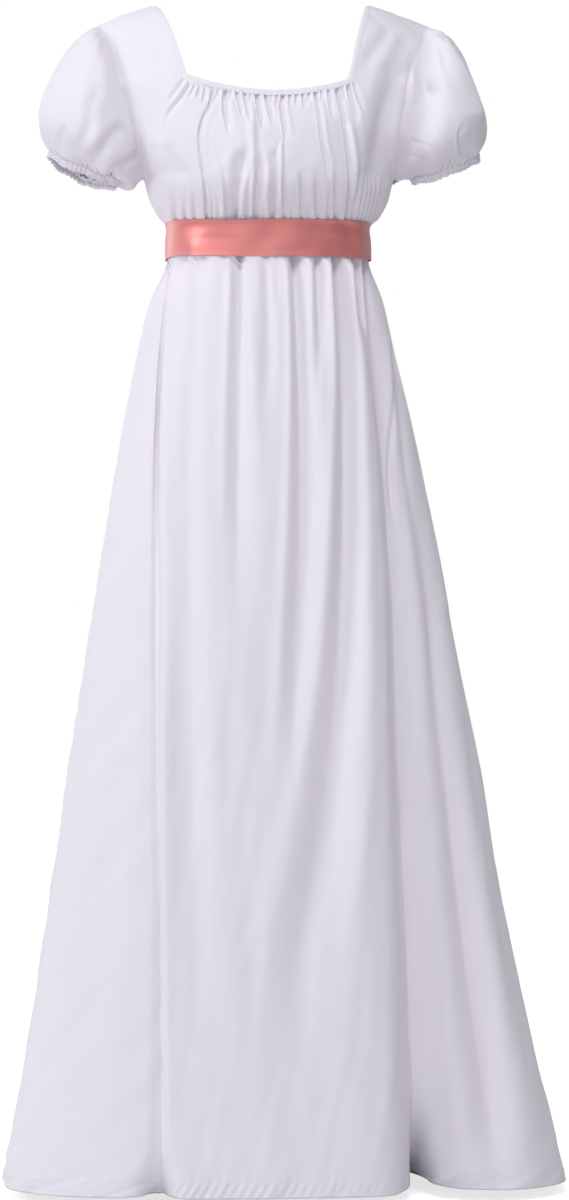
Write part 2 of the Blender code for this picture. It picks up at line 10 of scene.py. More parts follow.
import logging
import math
from collections.abc import Sequence
from dataclasses import astuple, dataclass
from enum import Enum

import bmesh
import bpy
import numpy as np
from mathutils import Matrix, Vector


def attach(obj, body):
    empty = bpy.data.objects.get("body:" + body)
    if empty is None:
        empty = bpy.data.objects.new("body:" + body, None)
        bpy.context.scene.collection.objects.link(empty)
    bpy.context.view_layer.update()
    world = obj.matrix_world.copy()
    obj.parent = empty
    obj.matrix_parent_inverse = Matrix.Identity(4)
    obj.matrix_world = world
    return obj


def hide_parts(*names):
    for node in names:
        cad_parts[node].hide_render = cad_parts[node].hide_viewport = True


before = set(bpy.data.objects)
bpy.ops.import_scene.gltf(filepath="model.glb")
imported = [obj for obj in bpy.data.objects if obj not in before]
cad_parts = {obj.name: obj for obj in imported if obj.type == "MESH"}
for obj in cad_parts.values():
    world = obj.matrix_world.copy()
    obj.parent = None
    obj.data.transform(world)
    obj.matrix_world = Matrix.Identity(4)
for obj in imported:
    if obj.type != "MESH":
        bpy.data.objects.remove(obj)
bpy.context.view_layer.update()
LOG = logging.getLogger("regency_gown")

WAIST_Z = -0.2832
HEM_Z = -1.372
MM_PER_METRE = 1000.0
CLOTH_WALL = 0.0007
HELD_DEPTH = 0.0006  # how far in the sash holds the cloth
FREE_HEIGHT = 0.010  # how much further out the cloth may stand once it is free
STITCH_PITCH = 0.0026
STITCH_HALF = (0.00022, 0.00018)  # half width and half height
STITCH_LIFT = 0.00006
BANDS_PER_UNIT = 20.0 / math.tau  # waves of a band pattern in one unit of its scale
ROUND_STEPS = 1440
QUARTER = ROUND_STEPS // 4

Colour = tuple[float, float, float]
Place = tuple[float, float, float]
Path2 = tuple[tuple[float, float], ...]
Pair = tuple[float, float]


class Face(Enum):
    """Which way the outer face of a sheet looks, against the order of its grid."""

    ALONG = 1.0
    AGAINST = -1.0


class Part(Enum):
    """Front or back of the gown."""

    FRONT = "front"
    BACK = "back"


def rise(share: np.ndarray | float) -> np.ndarray:
    """Smooth step from 0 to 1."""
    t = np.clip(share, 0.0, 1.0)
    return t * t * (3 - 2 * t)


def bell(distance: np.ndarray, width: np.ndarray | float) -> np.ndarray:
    """Rounded hump of height 1 and the given half width."""
    return np.exp(-((distance / width) ** 2))


def uneven(index: float, spread: float) -> float:
    """Repeatable offset of up to the spread either way."""
    return spread * math.sin(index * 2.399963 + 0.7) * math.cos(index * 1.131 + 0.3)


def smooth_rows(stations: Sequence[float], rows: np.ndarray, wanted: np.ndarray) -> np.ndarray:
    """Smooth curve through rows of values.

    Args:
        stations: Where each row stands, rising.
        rows: The values, one row for each station.
        wanted: Where the values are wanted.

    Returns:
        One row of values for each wanted place.
    """
    places = np.asarray(stations, float)
    values = np.asarray(rows, float)
    slopes = np.gradient(values, places, axis=0)
    index = np.clip(np.searchsorted(places, wanted) - 1, 0, len(places) - 2)
    span = places[index + 1] - places[index]
    shape = (-1,) + (1,) * (values.ndim - 1)
    t = np.clip((wanted - places[index]) / span, 0.0, 1.0).reshape(shape)
    span = span.reshape(shape)
    start = (2 * t**3 - 3 * t**2 + 1) * values[index] + (t**3 - 2 * t**2 + t) * span * slopes[index]
    stop = (3 * t**2 - 2 * t**3) * values[index + 1] + (t**3 - t**2) * span * slopes[index + 1]
    return start + stop


def unit(ways: np.ndarray) -> np.ndarray:
    """Directions of length 1, or of none where there was none."""
    return ways / np.maximum(np.linalg.norm(ways, axis=-1, keepdims=True), 1e-12)


def run_along(line: np.ndarray) -> np.ndarray:
    """Length from the start of a line to each of its points."""
    return np.concatenate([[0.0], np.cumsum(np.linalg.norm(np.diff(line, axis=0), axis=1))])


def run_across(grid: np.ndarray) -> np.ndarray:
    """Length along each row of a grid."""
    return np.cumsum(np.linalg.norm(np.gradient(grid, axis=1), axis=2), axis=1)


def picked(stops: np.ndarray, length: np.ndarray, values: np.ndarray) -> np.ndarray:
    """Rows of values at lengths along a line."""
    return np.stack([np.interp(stops, length, column) for column in values.T], axis=1)


def eased(ring: np.ndarray, reach: int = 1) -> np.ndarray:
    """A closed line evened out between neighbours."""
    return (np.roll(ring, reach, axis=0) + ring + np.roll(ring, -reach, axis=0)) / 3


# ---------------------------------------------------------------- shaders


class Shade:
    """A value in a shader, so that sums on it add the Math nodes they need."""

    def __init__(self, bench: Bench, socket: bpy.types.NodeSocket) -> None:
        """Keep the bench and the socket that gives the value."""
        self.bench = bench
        self.socket = socket

    def _with(self, operation: str, first: object, second: object) -> Shade:
        """Math node of one operation on two values."""
        node = self.bench.add("ShaderNodeMath", {"operation": operation}, {0: first, 1: second})
        return Shade(self.bench, node.outputs[0])

    def __add__(self, other: object) -> Shade:
        """Sum."""
        return self._with("ADD", self, other)

    def __radd__(self, other: object) -> Shade:
        """Sum with a number first."""
        return self._with("ADD", other, self)

    def __sub__(self, other: object) -> Shade:
        """Difference."""
        return self._with("SUBTRACT", self, other)

    def __rsub__(self, other: object) -> Shade:
        """Difference with a number first."""
        return self._with("SUBTRACT", other, self)

    def __mul__(self, other: object) -> Shade:
        """Product."""
        return self._with("MULTIPLY", self, other)

    def __rmul__(self, other: object) -> Shade:
        """Product with a number first."""
        return self._with("MULTIPLY", other, self)


class Bench:
    """The nodes of one material or world, where finishes are put together."""

    def __init__(self, owner: bpy.types.Material | bpy.types.World) -> None:
        """Open the nodes of their owner.

        Args:
            owner: The material or world whose nodes they are.
        """
        owner.use_nodes = True
        self.owner = owner
        self.tree = owner.node_tree

    def add(self, kind: str, settings: dict | None = None,
            sockets: dict | None = None) -> bpy.types.Node:
        """Add a node.

        Args:
            kind: The node's type.
            settings: Its properties, set first.
            sockets: Values or links for its inputs, by name or number.

        Returns:
            The new node.
        """
        node = self.tree.nodes.new(kind)
        for name, value in (settings or {}).items():
            setattr(node, name, value)
        for key, value in (sockets or {}).items():
            self.feed(node.inputs[key], value)
        return node

    def feed(self, socket: bpy.types.NodeSocket, value: object) -> None:
        """Set a socket to a value, or link it to another.

        Args:
            socket: The input to set.
            value: A number, a colour, a socket or a Shade.
        """
        if isinstance(value, Shade):
            value = value.socket
        if isinstance(value, bpy.types.NodeSocket):
            self.tree.links.new(value, socket)
        else:
            socket.default_value = value

    def dress(self, looks: dict[str, object]) -> bpy.types.Material:
        """Set the shader's sockets by their names, and give the finished material.

        Args:
            looks: Values or links for the sockets.

        Returns:
            The material that the nodes belong to.
        """
        for name, value in looks.items():
            self.feed(self.tree.nodes["Principled BSDF"].inputs[name], value)
        return self.owner

    def place(self, source: str, scale: Place) -> bpy.types.NodeSocket:
        """Coordinates of a kind, scaled.

        Args:
            source: Object or UV.
            scale: How many times each axis is repeated in a metre.

        Returns:
            The coordinates.
        """
        coordinates = self.add("ShaderNodeTexCoord")
        sockets = {"Vector": coordinates.outputs[source], "Scale": scale}
        return self.add("ShaderNodeMapping", {}, sockets).outputs["Vector"]

    def noise(self, source: str, scale: Place, detail: float = 2.0) -> Shade:
        """Noise over a piece."""
        sockets = {"Vector": self.place(source, scale), "Scale": 1.0, "Detail": detail}
        return Shade(self, self.add("ShaderNodeTexNoise", {}, sockets).outputs["Fac"])

    def wave(self, scale: Place, direction: str, wander: float) -> Shade:
        """Fine threads that follow the piece's own cut.

        Args:
            scale: How often each axis is repeated in a metre.
            direction: The axis that the bands follow one another along.
            wander: How far the threads stray.

        Returns:
            The height of the threads, from 0 to 1.
        """
        settings = {"wave_type": "BANDS", "bands_direction": direction}
        sockets = {"Vector": self.place("UV", scale), "Scale": 1.0, "Distortion": wander, "Detail": 1.0}
        return Shade(self, self.add("ShaderNodeTexWave", settings, sockets).outputs["Fac"])

    def seen_directly(self) -> Shade:
        """One where a piece is looked at, and zero where it only lights others."""
        return Shade(self, self.add("ShaderNodeLightPath").outputs["Is Camera Ray"])

    def bump(self, height: Shade, distance: float) -> bpy.types.NodeSocket:
        """Bump from a height."""
        return self.add("ShaderNodeBump", {}, {"Height": height, "Distance": distance}).outputs["Normal"]

    def blend(self, share: Shade, first: Colour, second: Colour) -> bpy.types.NodeSocket:
        """Colour between two colours."""
        sockets = {0: share, 6: (*first, 1.0), 7: (*second, 1.0)}
        return self.add("ShaderNodeMix", {"data_type": "RGBA"}, sockets).outputs[2]


@dataclass(frozen=True)
class Crepe:
    """Smooth white dress crepe with a faint lilac cast and a fine pebbled weave."""

    name: str = "white_crepe"
    colour: Colour = (0.86, 0.835, 0.90)
    shaded: Colour = (0.83, 0.80, 0.875)
    roughness: float = 0.78
    sheen: float = 0.25
    threads_per_metre: float = 2400.0
    thread_depth: float = 0.00002
    crinkle_depth: float = 0.0005
    mottle_scale: Place = (9.0, 9.0, 4.0)
    crinkle_scale: Place = (70.0, 70.0, 26.0)

    def make(self) -> bpy.types.Material:
        """Build the finish.

        Returns:
            The material.
        """
        bench = Bench(bpy.data.materials.new(self.name))
        mottle = bench.noise("Object", self.mottle_scale, 3.0)
        turns = self.threads_per_metre / BANDS_PER_UNIT
        warp, weft = (bench.wave((turns, turns, 1.0), way, 1.2) for way in "XY")
        weave = (warp + weft) * (self.thread_depth / self.crinkle_depth)
        crinkle = bench.noise("Object", self.crinkle_scale, 3.0)
        return bench.dress({
            "Base Color": bench.blend(mottle, self.colour, self.shaded),
            "Roughness": self.roughness + (mottle - 0.5) * 0.08,
            "Sheen Weight": self.sheen,
            "Sheen Roughness": 0.5,
            "Specular IOR Level": 0.3,
            "Normal": bench.bump(weave + crinkle * 0.35, self.crinkle_depth),
        })


@dataclass(frozen=True)
class Satin:
    """Dusty coral pink satin ribbon: fine lengthwise threads and a soft gloss."""

    name: str = "coral_satin"
    colour: Colour = (0.86, 0.33, 0.31)
    deep: Colour = (0.76, 0.25, 0.235)
    roughness: float = 0.40
    metal: float = 0.60
    gloss: float = 0.9
    gloss_roughness: float = 0.36
    gloss_tint: Colour = (1.0, 0.86, 0.86)
    mottle_scale: Place = (18.0, 60.0, 1.0)
    thread_scale: Place = (260.0, 2600.0, 1.0)
    slub_scale: Place = (90.0, 1500.0, 1.0)
    thread_depth: float = 0.00005

    def make(self) -> bpy.types.Material:
        """Build the finish.

        Returns:
            The material.
        """
        bench = Bench(bpy.data.materials.new(self.name))
        mottle = bench.noise("UV", self.mottle_scale)
        threads = bench.wave(self.thread_scale, "Y", 0.6)
        slubs = bench.noise("UV", self.slub_scale)
        return bench.dress({
            "Base Color": bench.blend(mottle, self.colour, self.deep),
            "Roughness": self.roughness + mottle * 0.08,
            "Metallic": self.metal,
            "Coat Weight": self.gloss,
            "Coat Roughness": self.gloss_roughness,
            "Coat Tint": (*self.gloss_tint, 1.0),
            "Sheen Weight": 0.15,
            "Specular IOR Level": 0.7,
            "Normal": bench.bump(threads * 0.5 + slubs * 0.6, self.thread_depth),
        })


@dataclass(frozen=True)
class Thread:
    """White sewing thread, a little brighter than the cloth."""

    name: str = "white_thread"
    colour: Colour = (0.88, 0.86, 0.91)
    shaded: Colour = (0.80, 0.78, 0.84)
    roughness: float = 0.6
    twist_scale: float = 900.0

    def make(self) -> bpy.types.Material:
        """Build the finish.

        Returns:
            The material.
        """
        bench = Bench(bpy.data.materials.new(self.name))
        twist = bench.noise("Object", (self.twist_scale,) * 3, 1.0)
        return bench.dress({
            "Base Color": bench.blend(twist, self.colour, self.shaded),
            "Roughness": self.roughness + twist * 0.1,
            "Specular IOR Level": 0.4,
        })


@dataclass(frozen=True)
class Paper:
    """Pale seamless studio paper that looks white without lighting the gown."""

    name: str = "pale_paper"
    colour: Colour = (0.90, 0.90, 0.91)
    shaded: Colour = (0.89, 0.89, 0.90)
    roughness: float = 0.95
    glow: float = 0.72
    grain_scale: float = 40.0

    def make(self) -> bpy.types.Material:
        """Build the finish.

        Returns:
            The material.
        """
        bench = Bench(bpy.data.materials.new(self.name))
        grain = bench.noise("Object", (self.grain_scale,) * 3)
        return bench.dress({
            "Base Color": bench.blend(grain, self.colour, self.shaded),
            "Roughness": self.roughness,
            "Emission Color": bench.blend(bench.seen_directly(), (0.0, 0.0, 0.0), (1.0, 1.0, 1.0)),
            "Emission Strength": self.glow,
        })


# ---------------------------------------------------------------- form of the cloth


@dataclass(frozen=True)
class Level:
    """One level round the body: half widths, depths, where it is widest and how square it is."""

    z: float
    right: float
    left: float
    front: float
    back: float
    widest: float
    power: float


BODICE_LEVELS = (
    Level(-0.0800, 0.1950, 0.1950, 0.0930, 0.090, 0.000, 2.40),
    Level(-0.1000, 0.1900, 0.1900, 0.1000, 0.094, 0.000, 2.40),
    Level(-0.1300, 0.1790, 0.1790, 0.1120, 0.099, 0.000, 2.35),
    Level(-0.1600, 0.1690, 0.1690, 0.1220, 0.100, 0.000, 2.30),
    Level(-0.1900, 0.1540, 0.1560, 0.1270, 0.098, 0.000, 2.30),
    Level(-0.2080, 0.1430, 0.1490, 0.1280, 0.096, 0.000, 2.30),
    Level(-0.2200, 0.1400, 0.1460, 0.1265, 0.094, 0.000, 2.30),
    Level(-0.2350, 0.1350, 0.1415, 0.1190, 0.092, 0.000, 2.30),
    Level(-0.2500, 0.1265, 0.1330, 0.1070, 0.089, 0.000, 2.30),
    Level(-0.2620, 0.1165, 0.1215, 0.0955, 0.086, 0.000, 2.30),
    Level(-0.2832, 0.1150, 0.1200, 0.0910, 0.085, 0.000, 2.30),
)
SKIRT_LEVELS = (
    Level(-0.2832, 0.1150, 0.1200, 0.0910, 0.085, 0.000, 2.30),
    Level(-0.3040, 0.1160, 0.1210, 0.0925, 0.088, 0.000, 2.30),
    Level(-0.3480, 0.1345, 0.1360, 0.1010, 0.104, 0.000, 2.30),
    Level(-0.4060, 0.1490, 0.1490, 0.1110, 0.120, 0.000, 2.30),
    Level(-0.4650, 0.1610, 0.1635, 0.1200, 0.134, -0.002, 2.30),
    Level(-0.6000, 0.1850, 0.1925, 0.1350, 0.160, -0.008, 2.35),
    Level(-0.7500, 0.2090, 0.2200, 0.1500, 0.184, -0.016, 2.40),
    Level(-0.9000, 0.2325, 0.2485, 0.1630, 0.204, -0.024, 2.45),
    Level(-1.0500, 0.2535, 0.2730, 0.1730, 0.222, -0.032, 2.50),
    Level(-1.2000, 0.2760, 0.3050, 0.1810, 0.238, -0.040, 2.50),
    Level(-1.3720, 0.3070, 0.3455, 0.1880, 0.252, -0.048, 2.50),
)


def between(rows: Sequence[Level | Station], z: float) -> Level | Station:
    """Row of a table at a height, smooth from row to row."""
    table = np.array([astuple(row) for row in rows[::-1]])
    return type(rows[0])(z, *smooth_rows(table[:, 0], table[:, 1:], np.array([z]))[0])


class Round:
    """The closed curve of one level. A share of the way round is 0 at the front middle and runs
    to 1 at the back middle on the wearer's left, and to -1 on the wearer's right."""

    def __init__(self, levels: Sequence[Level], z: float, clearance: float = 0.0) -> None:
        """Work out the curve at a height, a little outside the body where it is asked to be.

        Args:
            levels: The table of the body, from the top down.
            z: The height.
            clearance: How far outside the body the curve runs.
        """
        level = between(levels, z)
        self.z = z
        turn = np.linspace(-math.pi, math.pi, ROUND_STEPS + 1)
        sine = np.sin(turn)
        cosine = np.cos(turn)
        half_width = np.where(sine > 0, level.left, level.right) + clearance
        self.x = half_width * np.sign(sine) * np.abs(sine) ** (2.0 / level.power)
        ahead = -(level.front + clearance + level.widest)
        reach = np.where(cosine > 0, ahead, level.back + clearance - level.widest)
        self.y = level.widest + reach * np.abs(cosine) ** (2.0 / level.power)
        length = run_along(np.stack([self.x, self.y], axis=1))
        length -= length[2 * QUARTER]
        self.half_round = (length[-1] - length[0]) / 2
        self.share = np.where(length > 0, length / length[-1], length / -length[0])
        run_x = np.gradient(self.x)
        run_y = np.gradient(self.y)
        size = np.hypot(run_x, run_y)
        self.out_x = run_y / size
        self.out_y = -run_x / size

    def share_at(self, across: np.ndarray | float, part: Part = Part.FRONT) -> np.ndarray:
        """Share of the half round, from the middle line, at a distance across.

        Args:
            across: Distances to the wearer's left.
            part: Which half of the curve is meant.

        Returns:
            Shares of the way round.
        """
        front = slice(QUARTER, 3 * QUARTER + 1)
        if part is Part.FRONT:
            return np.interp(across, self.x[front], self.share[front])
        left, right = (
            np.interp(across, self.x[behind][::-1], self.share[behind][::-1])
            for behind in (slice(3 * QUARTER, None), slice(None, QUARTER + 1))
        )
        return np.where(np.asarray(across) >= 0, 1 - left, -1 - right)

    def points(self, share: np.ndarray) -> list[np.ndarray]:
        """Across, depth and the outward direction at shares of the way round.

        Args:
            share: Shares of the way round.

        Returns:
            The four rows of values.
        """
        wrapped = (np.asarray(share, float) + 1) % 2 - 1
        columns = (self.x, self.y, self.out_x, self.out_y)
        return [np.interp(wrapped, self.share, column) for column in columns]


@dataclass(frozen=True)
class Crease:
    """A soft trough, or a ridge where its depth is negative, in millimetres.

    It is drawn through points (x, z), with its depth and width at either end. A lean makes it
    easier on the wearer's left, a low keenness pinches it, and it dies away over its last share.
    The cloth that it takes in is pushed up a little as a bank on either side.
    """

    path: Path2
    depth: Pair
    width: Pair
    lean: float = 0.0
    keen: float = 2.0
    fade: float = 0.45

    BANK_HEIGHT = 0.24
    BANK_AWAY = 1.9
    BANK_WIDTH = 0.85

    def dip(self, x: np.ndarray, z: np.ndarray) -> np.ndarray:
        """Depth of the crease at places seen from the front.

        Args:
            x: Distances to the wearer's left.
            z: Heights.

        Returns:
            How far the cloth goes in at each place.
        """
        knots = np.array(self.path) / MM_PER_METRE
        depths = np.array(self.depth) / MM_PER_METRE
        widths = np.array(self.width) / MM_PER_METRE
        chords = run_along(knots)
        line = smooth_rows(chords, knots, np.linspace(0.0, chords[-1], 8 * len(knots)))
        reach = 5 * max(widths)
        near = (x > line[:, 0].min() - reach) & (x < line[:, 0].max() + reach)
        near &= (z > line[:, 1].min() - reach) & (z < line[:, 1].max() + reach)
        best = np.full(int(near.sum()), 1e9)
        side = np.zeros_like(best)
        along = np.zeros_like(best)
        place = np.stack([x[near], z[near]], axis=1)
        for index in range(len(line) - 1):
            run = line[index + 1] - line[index]
            offset = place - line[index]
            share = np.clip(offset @ run / (run @ run), 0.0, 1.0)
            gap = offset - share[:, None] * run
            distance = np.hypot(gap[:, 0], gap[:, 1])
            closer = distance < best
            best[closer] = distance[closer]
            side[closer] = np.sign(gap[closer, 0])
            along[closer] = (index + share[closer]) / (len(line) - 1)
        width = (widths[0] + (widths[1] - widths[0]) * along) * (1 + self.lean * side)
        depth = (depths[0] + (depths[1] - depths[0]) * along) * rise((1 - along) / self.fade)
        away = best / width
        bank = self.BANK_HEIGHT * bell(away - self.BANK_AWAY, self.BANK_WIDTH)
        dips = np.zeros_like(x)
        dips[near] = depth * (np.exp(-(away**self.keen)) - bank)
        return dips


def creased(creases: Sequence[Crease], grid: np.ndarray) -> np.ndarray:
    """Depth of all the creases of a piece at the points of its grid."""
    return sum(crease.dip(grid[..., 0], grid[..., 2]) for crease in creases)


def held_in(dips: np.ndarray, past_sash: np.ndarray, reach: float) -> np.ndarray:
    """Keep the cloth from standing out where the sash presses on it.

    Args:
        dips: Depths, below zero where the cloth stands out.
        past_sash: Distances past the edge of the sash.
        reach: Distance over which the cloth comes free.

    Returns:
        The depths that are left.
    """
    return np.maximum(dips, HELD_DEPTH - FREE_HEIGHT * rise(past_sash / reach))


def restless(u: np.ndarray, v: np.ndarray, size: float, seed: float) -> np.ndarray:
    """Slight unevenness of hanging cloth.

    Args:
        u: Places along the piece.
        v: Places up the piece.
        size: Its greatest height.
        seed: A number that makes each piece differ.

    Returns:
        Heights at the places.
    """
    waves = (
        (0.083, 0.61, 1.0), (0.052, 0.34, 0.7), (0.031, 0.21, 0.45), (0.119, 0.17, 0.6), (0.021, 0.11, 0.25),
    )
    total = np.zeros_like(u)
    for index, (wide, tall, share) in enumerate(waves):
        slant = math.tau * (u / wide + (1 if index % 2 else -1) * v / tall)
        wander = 1.3 * np.sin(math.tau * v / (tall * 1.7) + seed)
        total += share * np.sin(slant + seed * (index + 1) + wander)
    return size * total / sum(share for _, _, share in waves)


def outward(grid: np.ndarray, ring: bool, face: Face) -> np.ndarray:
    """Outward directions of a grid of points.

    Args:
        grid: Points in rows and columns.
        ring: Whether the last column meets the first.
        face: Which side of the grid faces out.

    Returns:
        One direction for each point.
    """
    if ring:
        along = np.roll(grid, -1, axis=1) - np.roll(grid, 1, axis=1)
    else:
        along = np.gradient(grid, axis=1)
    return unit(np.cross(along, np.gradient(grid, axis=0)) * face.value)


@dataclass
class Dressed:
    """A finished piece together with the grid that it was placed on."""

    piece: bpy.types.Object
    grid: np.ndarray
    normals: np.ndarray


def lay_sheet(
    name: str,
    grid: np.ndarray,
    face: Face,
    finish: bpy.types.Material,
    ring: bool = False,
    opening: tuple[int, int, int] | None = None,
    wall: float = CLOTH_WALL,
) -> Dressed:
    """Lay a sheet of cloth on a grid of points.

    Args:
        name: The piece's name.
        grid: Points in rows and columns.
        face: Which side of the grid faces out.
        finish: Its material.
        ring: Whether its last column meets its first.
        opening: The row above which, and the columns between which, nothing is left.
        wall: Thickness of the cloth.

    Returns:
        The piece with its grid and its outward directions.
    """
    rows = len(grid)
    columns = grid.shape[1] + (1 if ring else 0)
    closed = np.concatenate([grid, grid[:, :1]], axis=1) if ring else grid
    run_u = np.linalg.norm(np.diff(closed, axis=1), axis=2).mean(axis=0)
    run_v = np.linalg.norm(np.diff(closed, axis=0), axis=2).mean(axis=1)
    u = np.concatenate([[0.0], np.cumsum(run_u)])
    v = np.concatenate([[0.0], np.cumsum(run_v)])
    sheet = bmesh.new()
    bmesh.ops.create_grid(sheet, x_segments=columns - 1, y_segments=rows - 1, size=0.5)
    layer = sheet.loops.layers.uv.new("cut")
    taken = []
    for vertex in sheet.verts:
        column = round((vertex.co.x + 0.5) * (columns - 1))
        row = round((vertex.co.y + 0.5) * (rows - 1))
        if opening and row > opening[0] and opening[1] < column < opening[2]:
            taken.append(vertex)
        vertex.co = closed[row, column]
        for loop in vertex.link_loops:
            loop[layer].uv = (u[column], v[row])
    bmesh.ops.delete(sheet, geom=taken, context="VERTS")
    if ring:
        bmesh.ops.remove_doubles(sheet, verts=sheet.verts, dist=0.00001)
    if face is Face.AGAINST:
        bmesh.ops.reverse_faces(sheet, faces=sheet.faces)
    for border in sheet.edges:
        border.smooth = not border.is_boundary
    piece = finished(name, sheet, finish)
    thickness = piece.modifiers.new("wall", "SOLIDIFY")
    thickness.thickness = wall
    thickness.offset = -1.0
    thickness.use_even_offset = True
    return Dressed(piece, grid, outward(grid, ring, face))


def finished(name: str, sheet: bmesh.types.BMesh, finish: bpy.types.Material) -> bpy.types.Object:
    """Turn a bmesh into a smooth object with its finish.

    Args:
        name: The object's name.
        sheet: The mesh, which is used up.
        finish: Its material.

    Returns:
        The object, in the scene.
    """
    mesh = bpy.data.meshes.new(name)
    sheet.to_mesh(mesh)
    sheet.free()
    mesh.shade_smooth()
    mesh.materials.append(finish)
    piece = bpy.data.objects.new(name, mesh)
    bpy.context.scene.collection.objects.link(piece)
    return piece


def belongs(piece: bpy.types.Object, node: str | None = None) -> bpy.types.Object:
    """Carry a piece on the gown, and hide the solid that it stands for.

    Args:
        piece: The piece.
        node: The solid that it replaces, if any.

    Returns:
        The same piece.
    """
    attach(piece, "root")
    if node:
        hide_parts(node)
    LOG.info("%s: %d faces", piece.name, len(piece.data.polygons))
    return piece


def stitch_row(
    name: str,
    line: np.ndarray,
    normals: np.ndarray,
    finish: bpy.types.Material,
    pitch: float = STITCH_PITCH,
    closed: bool = False,
) -> bpy.types.Object:
    """Sew a row of small stitches along a line on the cloth.

    Args:
        name: The piece's name.
        line: Points on the cloth's face.
        normals: Outward direction at each point.
        finish: The thread.
        pitch: Distance from one stitch to the next.
        closed: Whether the line runs back to its start.

    Returns:
        One piece with all the stitches.
    """
    if closed:
        line = np.concatenate([line, line[:1]])
        normals = np.concatenate([normals, normals[:1]])
    length = run_along(line)
    count = max(2, int(length[-1] / pitch))
    stops = (np.arange(count) + 0.5) * length[-1] / count
    # The operator makes one bead, and its corners are then set out for every stitch
    single = bmesh.new()
    bmesh.ops.create_uvsphere(single, u_segments=6, v_segments=4, radius=1.0)
    bead = np.array([corner.co for corner in single.verts])
    sides = [[corner.index for corner in face.verts] for face in single.faces]
    single.free()
    places = picked(stops, length, line)
    ahead = picked(stops + pitch * 0.25, length, line) - places
    outs = unit(picked(stops, length, normals))
    across = np.cross(outs, ahead)
    ways = (ahead, across, np.cross(ahead, across))
    corners = (places + STITCH_LIFT * outs)[:, None]
    for axis, half in enumerate((pitch * 0.34, *STITCH_HALF)):
        corners = corners + (half * unit(ways[axis]))[:, None] * bead[None, :, axis, None]
    row = bmesh.new()
    for beads in corners:
        made = [row.verts.new(corner) for corner in beads]
        for side in sides:
            row.faces.new([made[index] for index in side])
    return belongs(finished(name, row, finish))


# ---------------------------------------------------------------- skirt


@dataclass(frozen=True)
class Station:
    """A side fold at one height: its place across, its depth, and its width towards the front
    panel and towards the side."""

    z: float
    across: float
    depth: float
    inner: float
    outer: float


@dataclass(frozen=True)
class Valley:
    """A side fold along a seam, with a deeper notch where it meets the hem, which lifts there."""

    stations: tuple[Station, ...]
    notch_depth: float
    notch_height: float
    notch_inner: float
    notch_outer: float
    lift: float

    def bells(self, distance: np.ndarray, inner: float, outer: float) -> np.ndarray:
        """A bell that is narrower towards the front panel."""
        return bell(distance, np.where(distance * self.stations[0].across < 0, inner, outer))

    def dip(self, distance: np.ndarray, z: float) -> np.ndarray:
        """Depth of the fold at distances from its middle line.

        Args:
            distance: Distances round the body from the fold's middle line.
            z: The height.

        Returns:
            How far the cloth goes in.
        """
        here = between(self.stations, z)
        near_hem = float(np.clip(1 - (z - HEM_Z) / self.notch_height, 0.0, 1.0))
        notch = self.notch_depth * near_hem**2.5
        dips = here.depth * self.bells(distance, here.inner, here.outer)
        return dips + notch * self.bells(distance, self.notch_inner, self.notch_outer)


RIGHT_VALLEY = Valley(
    (
        Station(-0.2832, -0.1140, 0.0050, 0.0040, 0.0024),
        Station(-0.4000, -0.1270, 0.0092, 0.0050, 0.0024),
        Station(-0.5050, -0.1335, 0.0092, 0.0050, 0.0026),
        Station(-0.6000, -0.1350, 0.0072, 0.0050, 0.0032),
        Station(-0.7000, -0.1355, 0.0058, 0.0046, 0.0042),
        Station(-0.9000, -0.1350, 0.0056, 0.0050, 0.0054),
        Station(-1.2000, -0.1335, 0.0056, 0.0060, 0.0074),
        Station(-1.3720, -0.1325, 0.0060, 0.0070, 0.0140),
    ),
    0.028, 0.07, 0.013, 0.024, 0.0022,
)
LEFT_VALLEY = Valley(
    (
        Station(-0.2832, 0.1110, 0.0110, 0.0050, 0.0140),
        Station(-0.4000, 0.1190, 0.0180, 0.0055, 0.0240),
        Station(-0.5050, 0.1260, 0.0190, 0.0060, 0.0300),
        Station(-0.7000, 0.1360, 0.0220, 0.0070, 0.0360),
        Station(-0.9000, 0.1430, 0.0300, 0.0095, 0.0460),
        Station(-1.0500, 0.1490, 0.0370, 0.0125, 0.0540),
        Station(-1.2000, 0.1560, 0.0470, 0.0160, 0.0600),
        Station(-1.3720, 0.1640, 0.0600, 0.0240, 0.0660),
    ),
    0.085, 0.16, 0.006, 0.014, 0.0050,
)

